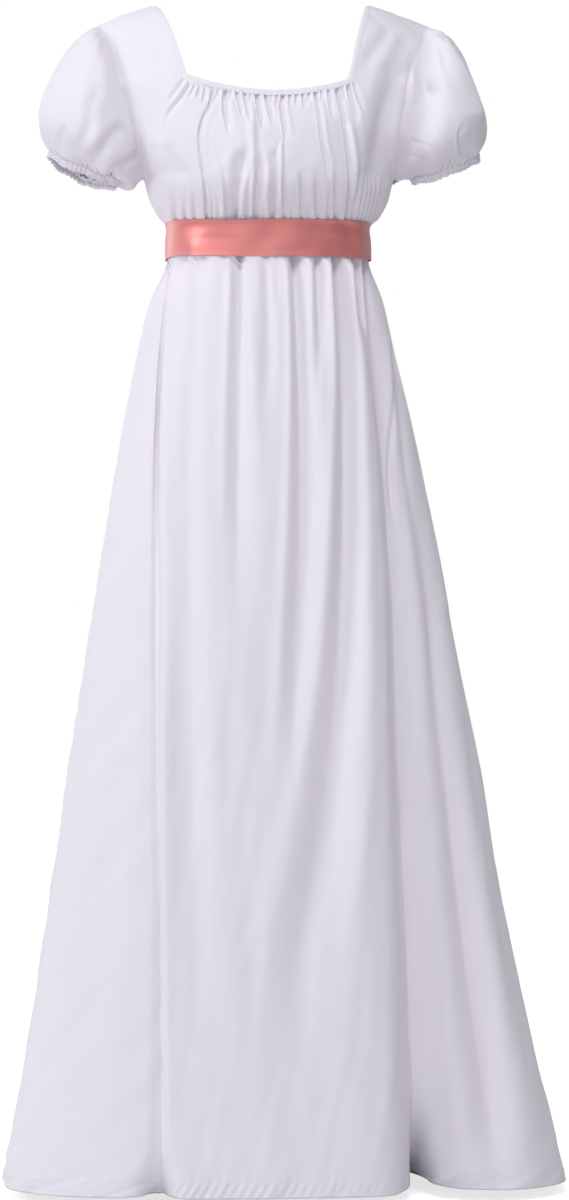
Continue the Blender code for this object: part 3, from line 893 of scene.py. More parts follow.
# Folds of the front from right to left, those of the seams and the sides, and then ridges
SKIRT_CREASES = (
    Crease(((-100, -300), (-107, -390), (-110, -470)), (3.4, 1), (5, 8)),
    Crease(((-80, -300), (-92, -410), (-97, -530), (-98, -810), (-91, -1090), (-84, -1400)), (3.4, 7.8),
           (6, 24)),
    Crease(((-88, -300), (-89, -340), (-90, -370)), (2.2, 0.8), (2.8, 4)),
    Crease(((-57, -300), (-58, -340), (-60, -380)), (2.6, 1), (3.6, 5)),
    Crease(((-39, -300), (-41, -350), (-43, -440), (-44, -610), (-43, -760)), (12, 3.6), (4.8, 15),
           0.25, 1.5),
    Crease(((-26, -300), (-27, -360), (-27, -390)), (2.8, 1), (3.2, 5)),
    Crease(((-8, -300), (-6, -370), (-7, -440), (-15, -530)), (3.2, 1.4), (4.2, 9)),
    Crease(((3, -300), (4, -340), (3, -380)), (2, 0.8), (2.8, 4)),
    Crease(((24, -295), (28, -380), (30, -500), (28, -640), (20, -880), (26, -1020)), (14, 7), (6, 21),
           0.35, 1.6),
    Crease(((52, -295), (52, -410), (49, -500)), (8.4, 2), (4.4, 8), 0.2, 1.5),
    Crease(((38, -295), (40, -330), (42, -370)), (2.4, 0.8), (2.6, 4)),
    Crease(((74, -295), (83, -410), (84, -530), (77, -700), (58, -920), (26, -1100), (6, -1360)),
           (15, 14.5), (5.2, 33), 0.2, 1.7),
    Crease(((98, -295), (103, -360), (106, -410)), (13, 6), (5.6, 8), 0.2, 1.6),
    Crease(((151, -400), (157, -530), (171, -660), (176, -720)), (6, 4), (6, 9)),
    Crease(((146, -450), (137, -550), (141, -620)), (2, 8), (2.2, 3.6)),
    Crease(((-113, -300), (-125.5, -400), (-132, -505), (-133.5, -600), (-133.8, -680)), (1.8, 7.2),
           (1.3, 1.7), 0.0, 1.4, 0.7),
    Crease(((-133, -620), (-133.5, -900), (-132, -1200), (-131.2, -1360)), (1.4, 2.2), (2, 3), 0.3, 1.4,
           0.2),
    Crease(((166, -460), (174, -580), (184, -700), (198, -870), (217, -1050), (239, -1230),
            (262, -1420)), (0.6, 27), (6, 24), 0.0, 2.0, 0.2),
    Crease(((211, -720), (238, -930), (284, -1160), (333, -1360)), (2, 5), (9, 15)),
    Crease(((-170, -720), (-185, -930), (-211, -1150), (-236, -1390)), (1.6, 5), (12, 24)),
    Crease(((-215, -810), (-233, -930), (-264, -1160), (-295, -1360)), (1.5, 4), (8, 13)),
    Crease(((-58, -810), (-63, -950), (-73, -1150)), (0.8, 1.8), (10, 14)),
    Crease(((-15, -1060), (-38, -1100), (-61, -1140)), (-0.8, -0.8), (6, 6)),
    Crease(((64, -300), (66, -380), (68, -450)), (-3, -1), (5, 7)),
    Crease(((88, -300), (98, -400), (101, -530), (102, -730), (96, -930), (97, -1150)), (-3, -8.6),
           (5, 21)),
    Crease(((-122, -400), (-125, -700), (-127, -930), (-126, -1360)), (-1.2, -3), (5, 11)),
)


@dataclass
class Skirt:
    """The long skirt: a front and a back panel that meet in a deep fold on each side."""

    front_columns: int = 200
    back_columns: int = 286
    rows: int = 116
    lower_rows: int = 7
    sash_foot: float = -0.303
    hem_depth: float = 0.0155
    hem_pitch: float = 0.0032
    lift_height: float = 0.12
    back_folds: int = 24
    back_span: Pair = (0.44, 1.56)
    front_cut: Pair = (0.62, 1.12)
    front_area: float = 0.45
    back_cut: Pair = (1.36, 1.13)
    back_area: float = 1.25
    valleys: tuple[Valley, ...] = (RIGHT_VALLEY, LEFT_VALLEY)
    # Heights of the rows round the hem's stitches, above or below them
    band: tuple[float, ...] = (0.0022, 0.0011, 0.0004, 0.0, -0.0005, -0.0013)
    # How far under the front panel, and how deep, the back panel's side edges are tucked
    tucks: tuple[Pair, ...] = ((0.0060, 0.0018), (0.0030, 0.0016), (0.0006, 0.0009))
    # How far in and how far up the rows of the turned edge lie
    turned: tuple[Pair, ...] = (
        (0.0006, 0.0003), (0.0016, 0.0006), (0.0016, 0.0050), (0.0016, 0.0100), (0.0015, 0.0155),
    )

    def heights(self) -> np.ndarray:
        """Heights of the rows, close together at the waist and in the hem.

        Returns:
            Heights from the waist down.
        """
        share = np.linspace(0.0, 1.0, self.rows)
        stitches = HEM_Z + self.hem_depth
        upper = WAIST_Z + (stitches + 0.004 - WAIST_Z) * share**1.15
        lower = np.linspace(stitches - 0.003, HEM_Z, self.lower_rows)
        return np.concatenate([upper, stitches + np.array(self.band), lower])

    def back_dips(self, around: Round, share: np.ndarray) -> np.ndarray:
        """Depth inward of the folds round the back, long and short by turns.

        Args:
            around: The body at one height.
            share: Shares of the way round.

        Returns:
            Depths at the shares.
        """
        start, stop = self.back_span
        pitch = (stop - start) / self.back_folds
        dips = np.zeros_like(share)
        for index in range(self.back_folds):
            long = index % 3 == 1
            middle = start + (index + 0.5) * pitch + uneven(index, 0.28 * pitch)
            ends = HEM_Z - 0.1 if long else -0.62 - 0.16 * (index % 4)
            along = (WAIST_Z - around.z) / (WAIST_Z - ends)
            if along > 1.0:
                continue
            head = 0.0034 + uneven(index + 3, 0.0010)
            foot = (0.013 if long else 0.004) + uneven(index + 7, 0.0030)
            fade = rise((1 - along) / 0.35) if ends > HEM_Z else 1.0
            depth = (head + (foot - head) * along) * fade
            distance = ((share - middle + 1) % 2 - 1) * around.half_round
            width = pitch * around.half_round * (0.30 + 0.12 * along + uneven(index + 5, 0.05))
            away = np.abs(distance) / width
            bank = 0.22 * bell(away - Crease.BANK_AWAY, Crease.BANK_WIDTH)
            dips += depth * (bell(away, 1.0) - bank)
        return dips

    def row(self, z: float, share: np.ndarray) -> np.ndarray:
        """Points of the cloth at a height, with the deep side folds and the back's folds.

        Args:
            z: The height.
            share: Shares of the way round.

        Returns:
            One point for each share.
        """
        around = Round(SKIRT_LEVELS, z)
        x, y, out_x, out_y = around.points(share)
        inward = self.back_dips(around, share)
        straight = np.zeros_like(share)
        back = rise((WAIST_Z - z) / 0.3)
        up = np.zeros_like(share)
        for valley in self.valleys:
            middle = around.share_at(between(valley.stations, z).across)
            distance = ((share - middle + 1) % 2 - 1) * around.half_round
            dip = valley.dip(distance, z)
            straight += dip * back
            inward += dip * (1 - back)
            low = rise((self.lift_height - (z - HEM_Z)) / self.lift_height)
            hump = valley.bells(distance, valley.notch_inner * 1.5, valley.notch_outer * 2.2)
            up += low * valley.lift * hump
        return np.stack([x - inward * out_x, y - inward * out_y + straight, z + up], axis=1)

    def panel(self, part: Part) -> np.ndarray:
        """Grid of one panel from the waist seam to the hem, with its turned edge inside.

        Args:
            part: The front or the back panel.

        Returns:
            Points in rows and columns.
        """
        behind = part is Part.BACK
        columns = self.back_columns if behind else self.front_columns
        share = np.linspace(0.0, 1.0, columns + 1)
        share = share - 0.6 * np.sin(math.tau * share) / math.tau
        reaches, depths = np.array(self.tucks).T
        rows = []
        for z in self.heights():
            around = Round(SKIRT_LEVELS, z)
            right, left = (
                float(around.share_at(between(valley.stations, z).across)) for valley in self.valleys
            )
            place = left + (2 + right - left) * share if behind else right + (left - right) * share
            if behind:
                under = reaches / around.half_round
                place = np.concatenate([left - under, place, right + 2 + under[::-1]])
            rows.append(self.row(z, place))
        grid = np.array(rows)
        normals = outward(grid, False, Face.AGAINST)
        if behind:
            tuck = np.concatenate([depths, np.zeros(columns + 1), depths[::-1]])
            grid = grid - normals * tuck[None, :, None]
        z = grid[..., 2]
        facing = rise((-normals[..., 1] - 0.05) / 0.35)
        run = run_across(grid)
        low = rise((WAIST_Z - 0.05 - z) / 0.5)
        dips = creased(SKIRT_CREASES, grid) * facing
        dips += restless(run, z, 0.0016, 2.3 if behind else 0.9) * low
        grid = grid - normals * held_in(dips, self.sash_foot - z, 0.016)[..., None]
        return self.hemmed(grid, run)

    def hemmed(self, grid: np.ndarray, run: np.ndarray) -> np.ndarray:
        """Add the hem: a band a thread proud, puckered at its stitches and turned up inside.

        Args:
            grid: The panel, creased.
            run: Length along its rows.

        Returns:
            The grid with its hem and the rows turned up inside.
        """
        normals = outward(grid, False, Face.AGAINST)
        above = grid[..., 2] - HEM_Z
        band = 0.00012 * rise((self.hem_depth - above) / 0.0012)
        groove = 0.00012 * bell(above - self.hem_depth, 0.0014) * (0.6 + 0.4 * np.sin(run / 0.021))
        gathers = np.sin(math.tau * run / 0.0105 + 2.2 * np.sin(run / 0.043))
        pucker = 0.0009 * gathers * (0.6 + 0.4 * np.sin(run / 0.067))
        pucker = pucker * bell(above - 0.6 * self.hem_depth, 0.55 * self.hem_depth)
        grid = grid + normals * (band - groove + pucker)[..., None]
        edge = grid[-1:]
        slope = grid[-self.lower_rows] - edge
        slope = slope / slope[..., 2:]
        turned = [edge - normals[-1:] * inward + slope * up for inward, up in self.turned]
        return np.concatenate([grid, *turned])

    def build(self, cloth: bpy.types.Material, thread: bpy.types.Material) -> None:
        """Make both panels and sew the hem.

        Args:
            cloth: The crepe.
            thread: The thread of the hem.
        """
        stitched = self.rows + self.band.index(0.0)
        for part, cut, area in (
            (Part.FRONT, self.front_cut, self.front_area),
            (Part.BACK, self.back_cut, self.back_area),
        ):
            node = f"skirt_{part.value}"
            made = lay_sheet(node + "_cloth", self.panel(part), Face.AGAINST, cloth)
            belongs(made.piece, node)
            line, normals = made.grid[stitched], made.normals[stitched]
            sewn = stitch_row(f"hem_stitches_{part.value}", line, normals, thread, self.hem_pitch)


# ---------------------------------------------------------------- bodice


def crisp(path: Path2, depth: float, width: float, lean: float = 0.5, fade: float = 0.45) -> Crease:
    """A thin keen fold that eases out at its foot.

    Args:
        path: Points (x, z) from the seam to its foot, in millimetres.
        depth: Its depth at the seam.
        width: Its width.
        lean: How much easier it is on the wearer's left.
        fade: Share of its length over which it dies away.

    Returns:
        The crease.
    """
    return Crease(path, (1.5 * depth, 1.25 * depth), (1.35 * width, 1.7 * width), lean, 1.3, fade)


def gather(path: Path2, depth: Pair, width: Pair, lean: float = 0.3, fade: float = 0.45) -> Crease:
    """A gather of the waist seam, thinner than an ordinary crease."""
    return Crease(path, depth, width, lean, 1.4, fade)


# Gathers of the front's neckline from right to left; two of them run down to the waist
NECK_CREASES = (
    crisp(((-98, -110), (-106, -123), (-118, -137), (-125, -151), (-128, -160)), 2.4, 1.7),
    crisp(((-104, -104), (-117, -122), (-124, -132)), 1.6, 1.5),
    crisp(((-91, -112), (-97, -122), (-101, -128)), 1.5, 1.3),
    crisp(((-85, -113), (-89, -126)), 1.5, 1.2),
    crisp(((-79, -115), (-82, -132)), 1.6, 1.3),
    crisp(((-71, -117), (-75, -132), (-82, -146), (-87, -163), (-87, -188), (-84, -208), (-80, -234),
           (-75, -276)), 2.3, 1.5, 0.9, 0.05),
    crisp(((-64, -117), (-70, -133)), 1.5, 1.3),
    crisp(((-56, -118), (-57, -140), (-54, -157), (-50, -170)), 3, 2.1),
    crisp(((-49, -118), (-50, -128)), 1.3, 1.2),
    crisp(((-43, -118), (-39, -134), (-37, -148)), 2.2, 1.5),
    crisp(((-34, -119), (-31, -138), (-27, -160)), 2.2, 1.6),
    crisp(((-27, -119), (-27, -130)), 1.3, 1.1),
    crisp(((-20, -119), (-17, -142), (-13, -165)), 2.6, 1.8),
    crisp(((-10, -119), (-6, -140), (-2, -158)), 2.6, 1.6),
    crisp(((-3, -119), (-2, -131)), 1.3, 1.1),
    crisp(((3, -119), (4, -134)), 1.7, 1.3),
    crisp(((10, -119), (8, -140), (11, -163), (12, -180)), 2.7, 1.7),
    crisp(((18, -118), (18, -134)), 1.8, 1.3),
    crisp(((26, -118), (25, -132)), 1.6, 1.2),
    crisp(((33, -118), (35, -138)), 1.8, 1.3),
    crisp(((40, -117), (39, -131)), 1.5, 1.2),
    crisp(((47, -116), (49, -138), (52, -174), (58, -202), (61, -220)), 2.6, 1.6, 0.7, 0.25),
    crisp(((55, -115), (56, -130)), 1.5, 1.2),
    crisp(((63, -114), (65, -136), (67, -150)), 2, 1.4),
    crisp(((72, -113), (76, -142), (80, -170), (83, -192), (85, -220), (85, -276)), 3.4, 1.9, 0.8,
          0.06),
    crisp(((80, -111), (83, -126)), 1.5, 1.2),
    crisp(((86, -109), (90, -129), (95, -153)), 2.8, 1.7, 0.5, 0.25),
    crisp(((93, -108), (99, -127), (105, -141)), 2, 1.4),
)
# Gathers of the front's waist seam from right to left, then the ridges of the bust
WAIST_CREASES = (
    Crease(((-139, -178), (-132, -216), (-118, -264)), (1.4, 1.8), (3, 3.4), 0.3, 1.5, 0.2),
    Crease(((-108, -276), (-112, -240), (-122, -205)), (2.4, 1), (2.4, 5), 0.3, 1.5),
    Crease(((-98, -276), (-101, -244), (-107, -215)), (2.2, 0.8), (2.2, 4), 0.3, 1.5),
    Crease(((-88, -276), (-90, -250), (-94, -222)), (2.4, 1), (2.2, 4), 0.3, 1.5),
    gather(((-68, -276), (-70, -246), (-76, -210)), (2.6, 1.2), (2.2, 4)),
    gather(((-61, -276), (-63, -250), (-66, -228)), (2.4, 1), (2, 3.4)),
    gather(((-53, -276), (-54, -244), (-60, -204), (-66, -180)), (3, 1.4), (2.4, 5), 0.4),
    Crease(((-42, -276), (-42, -234), (-37, -204), (-31, -180)), (5.8, 6.4), (4, 7), -0.35, 1.5, 0.22),
    gather(((-31, -276), (-30, -250), (-28, -232)), (2.6, 1), (1.8, 3)),
    gather(((-20, -276), (-21, -240), (-18, -206), (-16, -186)), (3.6, 3.6), (2.8, 5.6), 0.4, 0.3),
    gather(((-11, -276), (-11, -252), (-13, -234)), (2.4, 0.8), (1.8, 2.6)),
    gather(((1, -276), (1, -220), (1, -182)), (4.4, 4.4), (2.8, 3.6), -0.5, 0.15),
    gather(((13, -276), (12, -244), (8, -205)), (3, 1.2), (2.2, 4.2), 0.4),
    gather(((22, -276), (21, -254), (20, -238)), (2.4, 0.8), (1.8, 2.8)),
    gather(((33, -276), (32, -246), (29, -200)), (3.2, 1.4), (2.2, 5), 0.4),
    gather(((42, -276), (41, -254), (39, -236)), (2.6, 0.8), (1.8, 3)),
    gather(((53, -276), (50, -244), (46, -204)), (3.4, 1.4), (2.4, 5), 0.4),
    gather(((64, -276), (64, -250), (64, -228)), (3, 1.2), (2, 3)),
    gather(((74, -276), (72, -240), (70, -196)), (3.6, 1.8), (2.4, 4.6), 0.4),
    gather(((93, -276), (96, -240), (102, -198)), (3.4, 1.8), (2.4, 3.4), 0.2),
    gather(((99, -276), (104, -240), (112, -190)), (3, 1.6), (2, 3), 0.2),
    gather(((104, -276), (111, -236), (119, -186)), (3, 1.6), (2, 3), 0.2),
    gather(((109, -276), (117, -234), (126, -182)), (3, 1.6), (2, 3), 0.2),
    gather(((114, -276), (123, -232), (132, -186)), (2.8, 1.4), (2, 3.2), 0.2),
    gather(((119, -274), (129, -232), (138, -196)), (2.6, 1.2), (2, 3.4), 0.2),
    Crease(((-26, -140), (-25, -212), (-24, -262)), (-1.8, -1.8), (4, 4)),
    Crease(((7, -180), (7, -226), (8, -268)), (-1.6, -1.6), (2.2, 2.2)),
    Crease(((87, -160), (92, -200), (90, -262)), (-2, -1.6), (5, 4)),
)
# Hollows beside the bust and soft drag lines across the straps
STRAP_CREASES = (
    Crease(((146, -95), (136, -125), (130, -165), (122, -232)), (4, 15), (13, 18), 0.0, 2.0, 0.4),
    Crease(((-150, -100), (-140, -140), (-137, -190)), (1, 4), (16, 16)),
    Crease(((-148, -49), (-129, -67), (-114, -85)), (1, 1), (7, 8)),
    Crease(((-136, -47), (-126, -58), (-117, -67)), (0.9, 0.8), (5, 5)),
    Crease(((135, -43), (116, -70), (99, -92)), (1.4, 1.4), (7, 8)),
    Crease(((158, -52), (141, -80), (128, -104)), (1.2, 1.2), (8, 9)),
    Crease(((-123, -183), (-109, -206), (-97, -229)), (1.2, 1.2), (6, 8)),
)


# The armhole edges as shares of the half width of the body at heights, on the right and the left
ARMHOLES = (
    ((-0.208, 1.0), (-0.187, 0.970), (-0.160, 0.930), (-0.1365, 0.918), (-0.109, 0.912), (-0.090, 0.928)),
    ((-0.208, 1.0), (-0.187, 0.940), (-0.160, 0.880), (-0.134, 0.862), (-0.113, 0.846), (-0.090, 0.828)),
)


@dataclass
class Bodice:
    """One side of the bodice with its two straps, gathered along the neck and the waist.

    The shoulder seams and the neck corners are given on the wearer's right and left.
    """

    part: Part
    strap_columns: int
    middle_columns: int
    body_rows: int
    strap_rows: int
    neck_z: float
    neck_sag: float
    corners: Pair
    creases: tuple[Crease, ...]
    cut_size: Pair
    cut_area: float
    neck_half: float = 0.0970
    waist_half: float = 0.100
    shoulder_tops: tuple[Pair, Pair] = ((0.1385, -0.0062), (0.1250, -0.0022))
    shoulder_ends: tuple[Pair, Pair] = ((0.1960, -0.0280), (0.1905, -0.0245))
    side_gap: float = 0.0013
    underarm_z: float = -0.2080
    sash_top: float = -0.262
    fullness: float = 1.3

    def shares(self, around: Round) -> np.ndarray:
        """Shares across a row, from the right edge by both neck corners to the left edge.

        Args:
            around: The body at the row's height.

        Returns:
            Shares of the way round, from its own middle line.
        """
        narrow = 1 - self.side_gap / around.half_round
        right, left = (
            float(around.share_at(widest * np.interp(around.z, *zip(*armhole)), self.part)) * narrow
            for widest, armhole in zip((around.x.min(), around.x.max()), ARMHOLES)
        )
        levels = (WAIST_Z, self.neck_z)
        first, second = (
            float(around.share_at(side * np.interp(around.z, levels, (self.waist_half, corner)), self.part))
            for side, corner in zip((-1, 1), self.corners)
        )
        return np.concatenate([
            np.linspace(right, first, self.strap_columns + 1),
            np.linspace(first, second, self.middle_columns + 1)[1:],
            np.linspace(second, left, self.strap_columns + 1)[1:],
        ])

    def row(self, z: float) -> np.ndarray:
        """Points across the panel at a height below the neckline.

        Args:
            z: The height.

        Returns:
            One point for each column.
        """
        around = Round(BODICE_LEVELS, z)
        share = self.shares(around)
        place = np.where(share < 0, -1 - share, 1 - share) if self.part is Part.BACK else share
        x, y, _, _ = around.points(place)
        sag = self.neck_sag * rise(1 - (self.neck_z - z) / 0.06)
        heights = z - sag * np.clip(1 - (x / self.neck_half) ** 2, 0.0, 1.0)
        return np.stack([x, y, heights], axis=1)

    def straps(self) -> np.ndarray:
        """Rows of the two straps, from the neckline up over to the shoulder seam.

        Returns:
            A grid whose first row is the neckline.
        """
        base = self.row(self.neck_z)
        side = -1.0 if self.part is Part.BACK else 1.0
        count = self.strap_columns + 1
        over = np.linspace(0.0, 1.0, count)
        ends = zip((-1, 1), (slice(None, count), slice(-count, None)), self.shoulder_tops, self.shoulder_ends)
        rows = np.repeat(base[None], self.strap_rows + 1, axis=0)
        along = np.linspace(0.0, 1.0, self.strap_rows + 1)[:, None, None]
        for sign, strap, (near_x, near_z), (far_x, far_z) in ends:
            foot = base[strap]
            reach = over[::-1] if sign < 0 else over
            top_x = sign * (near_x + (far_x - near_x) * reach)
            top_z = near_z + (far_z - near_z) * reach**1.15
            top = np.stack([top_x, np.full_like(top_x, -side * self.side_gap / 2), top_z], axis=1)
            turn = 0.35 * foot + 0.65 * top
            turn[:, 1] = foot[:, 1] + side * 0.034
            turn[:, 2] = top_z - 0.002
            rows[:, strap] = (1 - along) ** 2 * foot + 2 * along * (1 - along) * turn + along**2 * top
        return rows

    def form(self) -> np.ndarray:
        """Grid of the whole piece before it is creased, from the waist seam to the shoulder."""
        heights = np.linspace(WAIST_Z + 0.0002, self.neck_z - 0.0014, self.body_rows)
        return np.concatenate([np.array([self.row(z) for z in heights]), self.straps()])

    def grid(self, face: Face) -> np.ndarray:
        """Grid of the creased cloth.

        Args:
            face: Which side of the grid faces out.

        Returns:
            Points in rows and columns.
        """
        grid = self.form()
        normals = outward(grid, False, face)
        z = grid[..., 2]
        run = run_across(grid)
        dips = self.fullness * creased(self.creases, grid)
        dips += restless(run, z, 0.0009, 4.1 if self.part is Part.FRONT else 5.7)
        edge = np.minimum(run - run[:, :1], run[:, -1:] - run)
        dips *= rise(edge / 0.012)
        seam = 0.0001 * bell(edge, 0.0016) + 0.0002 * bell(edge - 0.0055, 0.0012)
        armhole = rise((z - self.underarm_z) / 0.01)
        dips = held_in(dips, z - self.sash_top, 0.018) + seam * armhole
        return grid - normals * dips[..., None]

    def edge(self, sign: float) -> np.ndarray:
        """The armhole edge on one side, from the shoulder seam down to the underarm.

        Args:
            sign: Below zero for the wearer's right.

        Returns:
            Points along the edge.
        """
        line, inner = (self.form()[::-1, column] for column in ((0, 1) if sign < 0 else (-1, -2)))
        keep = line[:, 2] > self.underarm_z - 0.0005
        return line[keep] + 0.0001 * unit(line[keep] - inner[keep])

    def neck_edge(self) -> tuple[np.ndarray, np.ndarray]:
        """Neck edge from the right shoulder down, across and up, with the way out of the cloth.

        Returns:
            Points along the edge, and one direction for each.
        """
        grid = self.form()
        right = self.strap_columns
        left = right + self.middle_columns
        straps = grid[self.body_rows:]
        up = unit((straps[0] - grid[self.body_rows - 1])[right:left + 1])
        right_line, left_line = straps[:, right], straps[:, left]
        right_out = unit(right_line - straps[:, right - 1])
        left_out = unit(left_line - straps[:, left + 1])
        right_out[0] += up[0]
        left_out[0] += up[-1]
        points = np.concatenate([right_line[::-1], straps[0, right + 1:left], left_line])
        return points, np.concatenate([right_out[::-1], up[1:-1], left_out])

    def build(self, cloth: bpy.types.Material) -> None:
        """Make the piece.

        Args:
            cloth: The crepe.
        """
        node = f"bodice_{self.part.value}"
        face = Face.AGAINST if self.part is Part.BACK else Face.ALONG
        opening = (self.body_rows, self.strap_columns, self.strap_columns + self.middle_columns)
        made = lay_sheet(node + "_cloth", self.grid(face), face, cloth, opening=opening)
        belongs(made.piece, node)


def back_creases() -> tuple[Crease, ...]:
    """Gathers of the back, drawn up at the neck and the waist and a little uneven.

    Returns:
        The creases, neck first.
    """
    creases = []
    for count, half, edge_z, way, reach in ((20, 92, -99, -1, 40), (19, 100, -276, 1, 62)):
        pitch = 2 * half / count
        for index in range(count):
            x = -half + (index + 0.5) * pitch + uneven(index + edge_z / 10, 1.6)
            length = reach * (1 + uneven(index * 1.7 + 2, 0.55))
            path = tuple(
                (x * (1 + 0.10 * way * share) + uneven(index + 3 * share, 1.4), edge_z + way * length * share)
                for share in (0.0, 0.5, 1.0)
            )
            depth = 2.6 + uneven(index + 9, 0.8)
            creases.append(Crease(path, (depth, depth * 0.4), (1.9, 3.8), uneven(index, 0.4), 1.35))
    return tuple(creases)


# ---------------------------------------------------------------- sleeves and cuffs


@dataclass(frozen=True)
class Loop:
    """One loop round a puff sleeve: its highest and lowest point from the front, and half its depth."""

    along: float
    top_x: float
    top_z: float
    foot_x: float
    foot_z: float
    depth: float


SLEEVE_LOOPS = (
    Loop(0.10, 0.2055, -0.0315, 0.1510, -0.2110, 0.068),
    Loop(0.28, 0.2310, -0.0530, 0.1560, -0.2130, 0.080),
    Loop(0.48, 0.2500, -0.0880, 0.1605, -0.2130, 0.086),
    Loop(0.68, 0.2620, -0.1280, 0.1645, -0.2110, 0.079),
    Loop(0.86, 0.2600, -0.1560, 0.1675, -0.2085, 0.062),
    Loop(1.00, 0.2520, -0.1727, 0.1700, -0.2060, 0.044),
)
# Folds of the fronts of the sleeves
RIGHT_SLEEVE_CREASES = (
    Crease(((-202, -114), (-208, -133), (-212, -162), (-221, -194)), (1, 3.6), (6, 7)),
    Crease(((-239, -158), (-243, -172), (-243, -188)), (1.6, 3), (3.4, 4.5), 0.0, 1.6),
    Crease(((-177, -160), (-190, -176), (-202, -191), (-209, -203)), (3, 4.8), (7, 8.5), 0.0, 2.0, 0.2),
    Crease(((-155, -185), (-170, -196), (-181, -206), (-190, -214)), (3, 4), (4, 4.5), 0.0, 1.7, 0.2),
    Crease(((-192, -50), (-198, -79), (-211, -105)), (1.2, 0.6), (3, 7)),
    Crease(((-196, -42), (-202, -52), (-207, -64)), (1.4, 0.6), (2.4, 3.4), 0.0, 1.5),
    Crease(((-202, -40), (-210, -50), (-215, -60)), (1.1, 0.5), (2.2, 3), 0.0, 1.5),
    Crease(((-215, -77), (-229, -110), (-236, -138)), (0.7, 1), (9, 10)),
)
LEFT_SLEEVE_CREASES = (
    Crease(((182.5, -44), (179, -70), (180, -96), (187, -124)), (10, 16), (6.6, 10), 0.1, 1.7, 0.22),
    crisp(((168, -80), (174, -102), (182, -124)), 2, 2, 0.9, 0.2),
    Crease(((206, -49), (213, -63), (223, -82), (231, -99), (237, -116), (240.5, -134), (240.5, -149)),
           (-6, -8.4), (11, 11), -0.3, 1.3, 0.15),
    Crease(((196, -52), (203, -74), (206, -98)), (1.8, 0.6), (3, 7)),
    Crease(((190, -36), (193, -45), (195, -54)), (2.8, 1), (2.2, 3), 0.0, 1.5),
    Crease(((197, -38), (203, -46), (208, -56)), (2.2, 0.8), (2, 3), 0.0, 1.5),
    Crease(((221.5, -150), (218, -159), (220, -172), (225, -184)), (1, 4.2), (3, 5.2), 0.4, 1.6, 0.15),
    Crease(((230, -156), (231.5, -172), (233, -186)), (0.8, 5), (6, 7)),
    Crease(((185.3, -33), (180.4, -45), (172.6, -61), (164.8, -76), (160.6, -92), (157.8, -113),
            (155.1, -134), (152, -150)), (5.8, 4), (1.7, 1.7), 0.5, 1.3, 0.3),
    crisp(((164, -165), (174, -170), (184, -175), (196, -181), (206, -188)), 0.6, 1.6, 0.0, 0.8),
    crisp(((159, -180), (170, -186), (178, -191), (190, -199)), 0.6, 1.6, 0.0, 0.8),
    Crease(((166, -66), (163, -95), (160, -130)), (-2, -1.6), (6, 7)),
)


